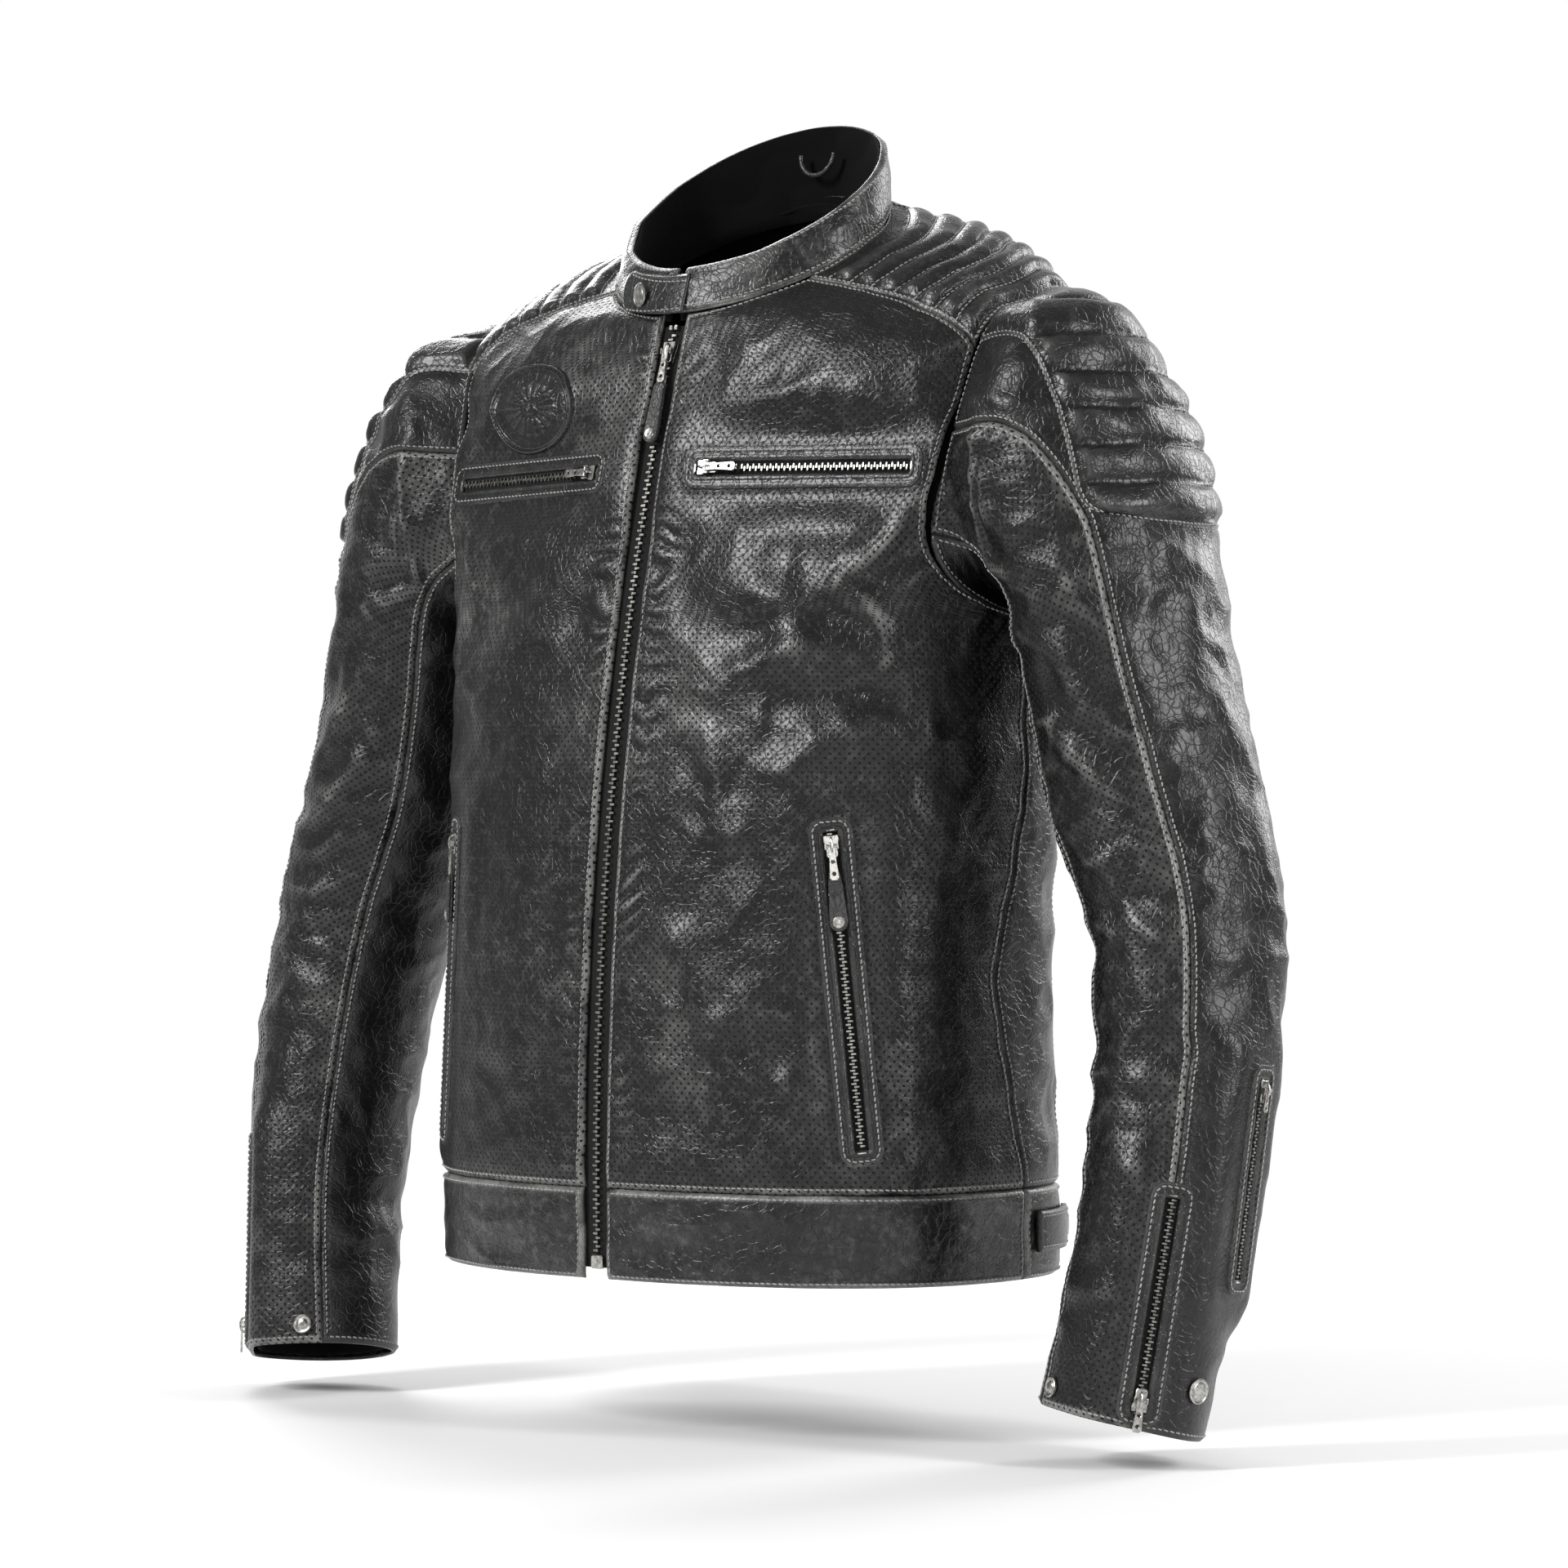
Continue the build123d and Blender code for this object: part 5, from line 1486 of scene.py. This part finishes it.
for side in SIDES:
    at, base = (ring_point(STRAP_RING, 46.0, inset) * TURN[side] for inset in (-2.6, 0.0))
    studs.append(lathe(STUD, spot(at, at - base), 32))
finish("waist_stud_metal", studs, METAL, "jacket", ["waist_snaps"])

# A stud and a snap on each cuff, at the height of SNAP_Z.
SNAP_Z = -48
for side in SIDES:
    parts = []
    for angle, profile in ((-118, STUD), (-6, SNAP)):
        fine = np.linspace(7, STATIONS - 0.05, 300)
        st = float(np.interp(-SNAP_Z, -sleeve_base(fine, np.full(300, float(angle)))[:, 2], fine))
        point, normal = sleeve_skin(np.array([st]), np.array([float(angle)]), side, np.array([1.4]))
        parts.append(lathe(profile, spot(point[0] * TURN[side], normal[0] * TURN[side]), 36))
    finish(f"cuff_snap_metal_{side}", parts, METAL, f"sleeve_{side}", [f"cuff_snaps_{side}"])


# ------------------------------------------------------------------ stitches
def on_grid(grid, i, j):
    """Values of a grid at fractional rows and columns."""
    i, j = np.clip(i, 0, grid.shape[0] - 1.001), np.clip(j, 0, grid.shape[1] - 1.001)
    a, b = np.floor(i).astype(int), np.floor(j).astype(int)
    f, g = (i - a)[..., None], (j - b)[..., None]
    before = grid[a, b] * (1 - f) + grid[a + 1, b] * f
    after = grid[a, b + 1] * (1 - f) + grid[a + 1, b + 1] * f
    return before * (1 - g) + after * g


def edge_row(points, side, distance):
    """Fractional rows and columns of the line at a distance inside one side of a grid."""
    rows, cols = points.shape[:2]
    run = lengths(points, 1 if side in "lr" else 0)
    run = run if side in "lr" else run.T
    places = []
    for k in range(len(run)):
        target = distance if side in "lb" else run[k, -1] - distance
        places.append(np.interp(target, run[k], np.arange(run.shape[1])))
    places, steady = np.array(places), np.arange(len(run), dtype=float)
    return (steady, places) if side in "lr" else (places, steady)


def sew_edges(points, normals, body, sides, margins):
    """Rows of stitches along the sides of a grid, stopping where they meet those of the next side."""
    for side in sides:
        for margin in margins:
            i, j = edge_row(points, side, margin)
            line, out = on_grid(points, i, j), on_grid(normals, i, j)
            run = run_along(line)
            trim = [margin if other in sides else 0.6 for other in (("b", "t") if side in "lr" else ("l", "r"))]
            keep = (run >= trim[0]) & (run <= run[-1] - trim[1])
            if keep.sum() > 2:
                sew(body, line[keep], out[keep])


for points, normals, body, sides, margins in SHEETS.values():
    sew_edges(points, normals, body, sides, margins)
for points, normals, body, i, j in CHANNELS:
    sew(body, on_grid(points, i, j), on_grid(normals, i, j))

# Along a stitch: distance in stitch lengths, thickness and depth in thread radii.
STEP = np.array([(-0.5, 0.25, -0.5), (-0.46, 0.7, -0.3), (-0.25, 1.0, 0.0), (0.25, 1.0, 0.0), (0.46, 0.7, -0.3),
                 (0.5, 0.25, -0.5)])


def stitch_mesh(name, lines):
    """Short lengths of thread along the lines, each going down into the leather at its ends."""
    centres, aheads, outs = [], [], []
    for points, normals in lines:
        run = run_along(points)
        count = max(1, int(run[-1] / STITCH_PITCH))
        at = (np.arange(count) + 0.5) * run[-1] / count
        for part, half in ((centres, 0.0), (aheads, 0.6)):
            here = np.stack([np.interp(at + half, run, points[:, k]) for k in range(3)], -1)
            if half:
                here = here - np.stack([np.interp(at - half, run, points[:, k]) for k in range(3)], -1)
            part.append(here)
        outs.append(np.stack([np.interp(at, run, normals[:, k]) for k in range(3)], -1))
    centre, ahead, out = np.concatenate(centres), unit(np.concatenate(aheads)), unit(np.concatenate(outs))
    side = unit(np.cross(ahead, out))
    out = np.cross(side, ahead)
    slant = unit(ahead + 0.16 * side)
    side = np.cross(slant, out)
    turns = np.linspace(0, 2 * np.pi, 6, endpoint=False)
    rings = []
    for along, wide, down in STEP:
        middle = centre + slant * (along * STITCH_LENGTH) + out * (0.2 + down * STITCH_R * 1.4)
        for a in turns:
            rings.append(middle + (side * math.cos(a) + out * math.sin(a)) * (STITCH_R * wide))
    verts = np.stack(rings, 1)
    n = len(STEP)
    local = [(k * 6 + i, k * 6 + (i + 1) % 6, (k + 1) * 6 + (i + 1) % 6, (k + 1) * 6 + i) for k in range(n - 1)
             for i in range(6)]
    e = (n - 1) * 6
    local += [(3, 2, 1, 0), (5, 4, 3, 0), (e, e + 1, e + 2, e + 3), (e, e + 3, e + 4, e + 5)]
    faces = (np.array(local)[None] + (np.arange(len(verts)) * n * 6)[:, None, None]).reshape(-1, 4)
    return make_object(name, verts.reshape(-1, 3), faces, THREAD)


for body, lines in LINES.items():
    if lines:
        PIECES.setdefault(body, []).append(stitch_mesh(f"stitches_{body}", lines))

# ------------------------------------------------------------------ bodies, floor, light and camera
for body, pieces in PIECES.items():
    for piece in pieces:
        if body in ("sleeve_left", "sleeve_right"):
            turn = TURN[body[7:]]
            start = ARM_CENTRE * turn * MM
            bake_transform(piece)
        else:
            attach(piece, body.removeprefix("hard_"))

floor_mesh = bpy.data.meshes.new("floor")
FLOOR_Z = CAD_BOX[0][2] - 0.012
FLOOR_R = 1.5
FLOOR_SIDES = 128
turns = np.linspace(0, 2 * np.pi, FLOOR_SIDES, endpoint=False)
floor_mesh.from_pydata([(FLOOR_R * math.cos(a), FLOOR_R * math.sin(a), FLOOR_Z) for a in turns], [],
                       [tuple(range(FLOOR_SIDES))])
floor = bpy.data.objects.new("floor", floor_mesh)
bpy.context.scene.collection.objects.link(floor)
floor_nodes = Nodes("floor_paper")
paper = floor_nodes.mix(floor_nodes.noise(floor_nodes.place, 3, 3), 0.86, 0.9)
floor_mesh.materials.append(floor_nodes.dress(Base_Color=paper, Roughness=0.9))
bpy.context.scene.view_settings.view_transform = "Standard"

# White paper behind the jacket as the camera sees it, and a dimmer room elsewhere.
world = bpy.data.worlds.new("studio")
world.use_nodes = True
tree = world.node_tree
where = tree.nodes.new("ShaderNodeTexCoord")
aimed = tree.nodes.new("ShaderNodeVectorMath")
aimed.operation = "DOT_PRODUCT"
aimed.inputs[1].default_value = (-0.64, 0.77, 0.0)
bright = tree.nodes.new("ShaderNodeMapRange")
for socket, value in (("From Min", 0.55), ("From Max", 0.9), ("To Min", 0.3), ("To Max", 1.0)):
    bright.inputs[socket].default_value = value
tree.links.new(where.outputs["Generated"], aimed.inputs[0])
tree.links.new(aimed.outputs["Value"], bright.inputs["Value"])
tree.links.new(bright.outputs["Result"], tree.nodes["Background"].inputs["Strength"])
tree.nodes["Background"].inputs["Color"].default_value = (1, 1, 1, 1)
bpy.context.scene.world = world


MIDDLE = Vector((0.0, 0.0, 0.3))


def area_light(name, place, size, power):
    """A rectangular light aimed at the middle of the jacket."""
    data = bpy.data.lights.new(name, "AREA")
    data.shape, data.size, data.size_y, data.energy = "RECTANGLE", size[0], size[1], power
    obj = bpy.data.objects.new(name, data)
    obj.location = place
    obj.rotation_euler = (MIDDLE - Vector(place)).to_track_quat("-Z", "Y").to_euler()
    bpy.context.scene.collection.objects.link(obj)


area_light("key", (-0.9, -2.4, 1.9), (0.6, 1.2), 70)
area_light("side", (2.6, 0.1, 1.2), (0.5, 1.8), 42)
area_light("front", (2.0, -2.6, 0.5), (0.25, 1.2), 9)
area_light("rim", (-2.2, 1.4, 1.6), (0.8, 1.8), 45)
area_light("back", (0.6, 2.6, 1.4), (1.0, 1.6), 35)

# The camera looks at the jacket from the wearer's front left.
camera_data = bpy.data.cameras.new("camera")
camera_data.sensor_width, camera_data.lens = 36.0, 132.6
camera = bpy.data.objects.new("camera", camera_data)
AIM, AZIMUTH, DISTANCE = Vector((0.0167, 0.014, 0.291)), math.radians(40), 3.5
camera.location = AIM + DISTANCE * Vector((math.sin(AZIMUTH), -math.cos(AZIMUTH), 0))
camera.rotation_euler = (AIM - camera.location).to_track_quat("-Z", "Y").to_euler()
bpy.context.scene.collection.objects.link(camera)
bpy.context.scene.camera = camera

bpy.context.view_layer.update()
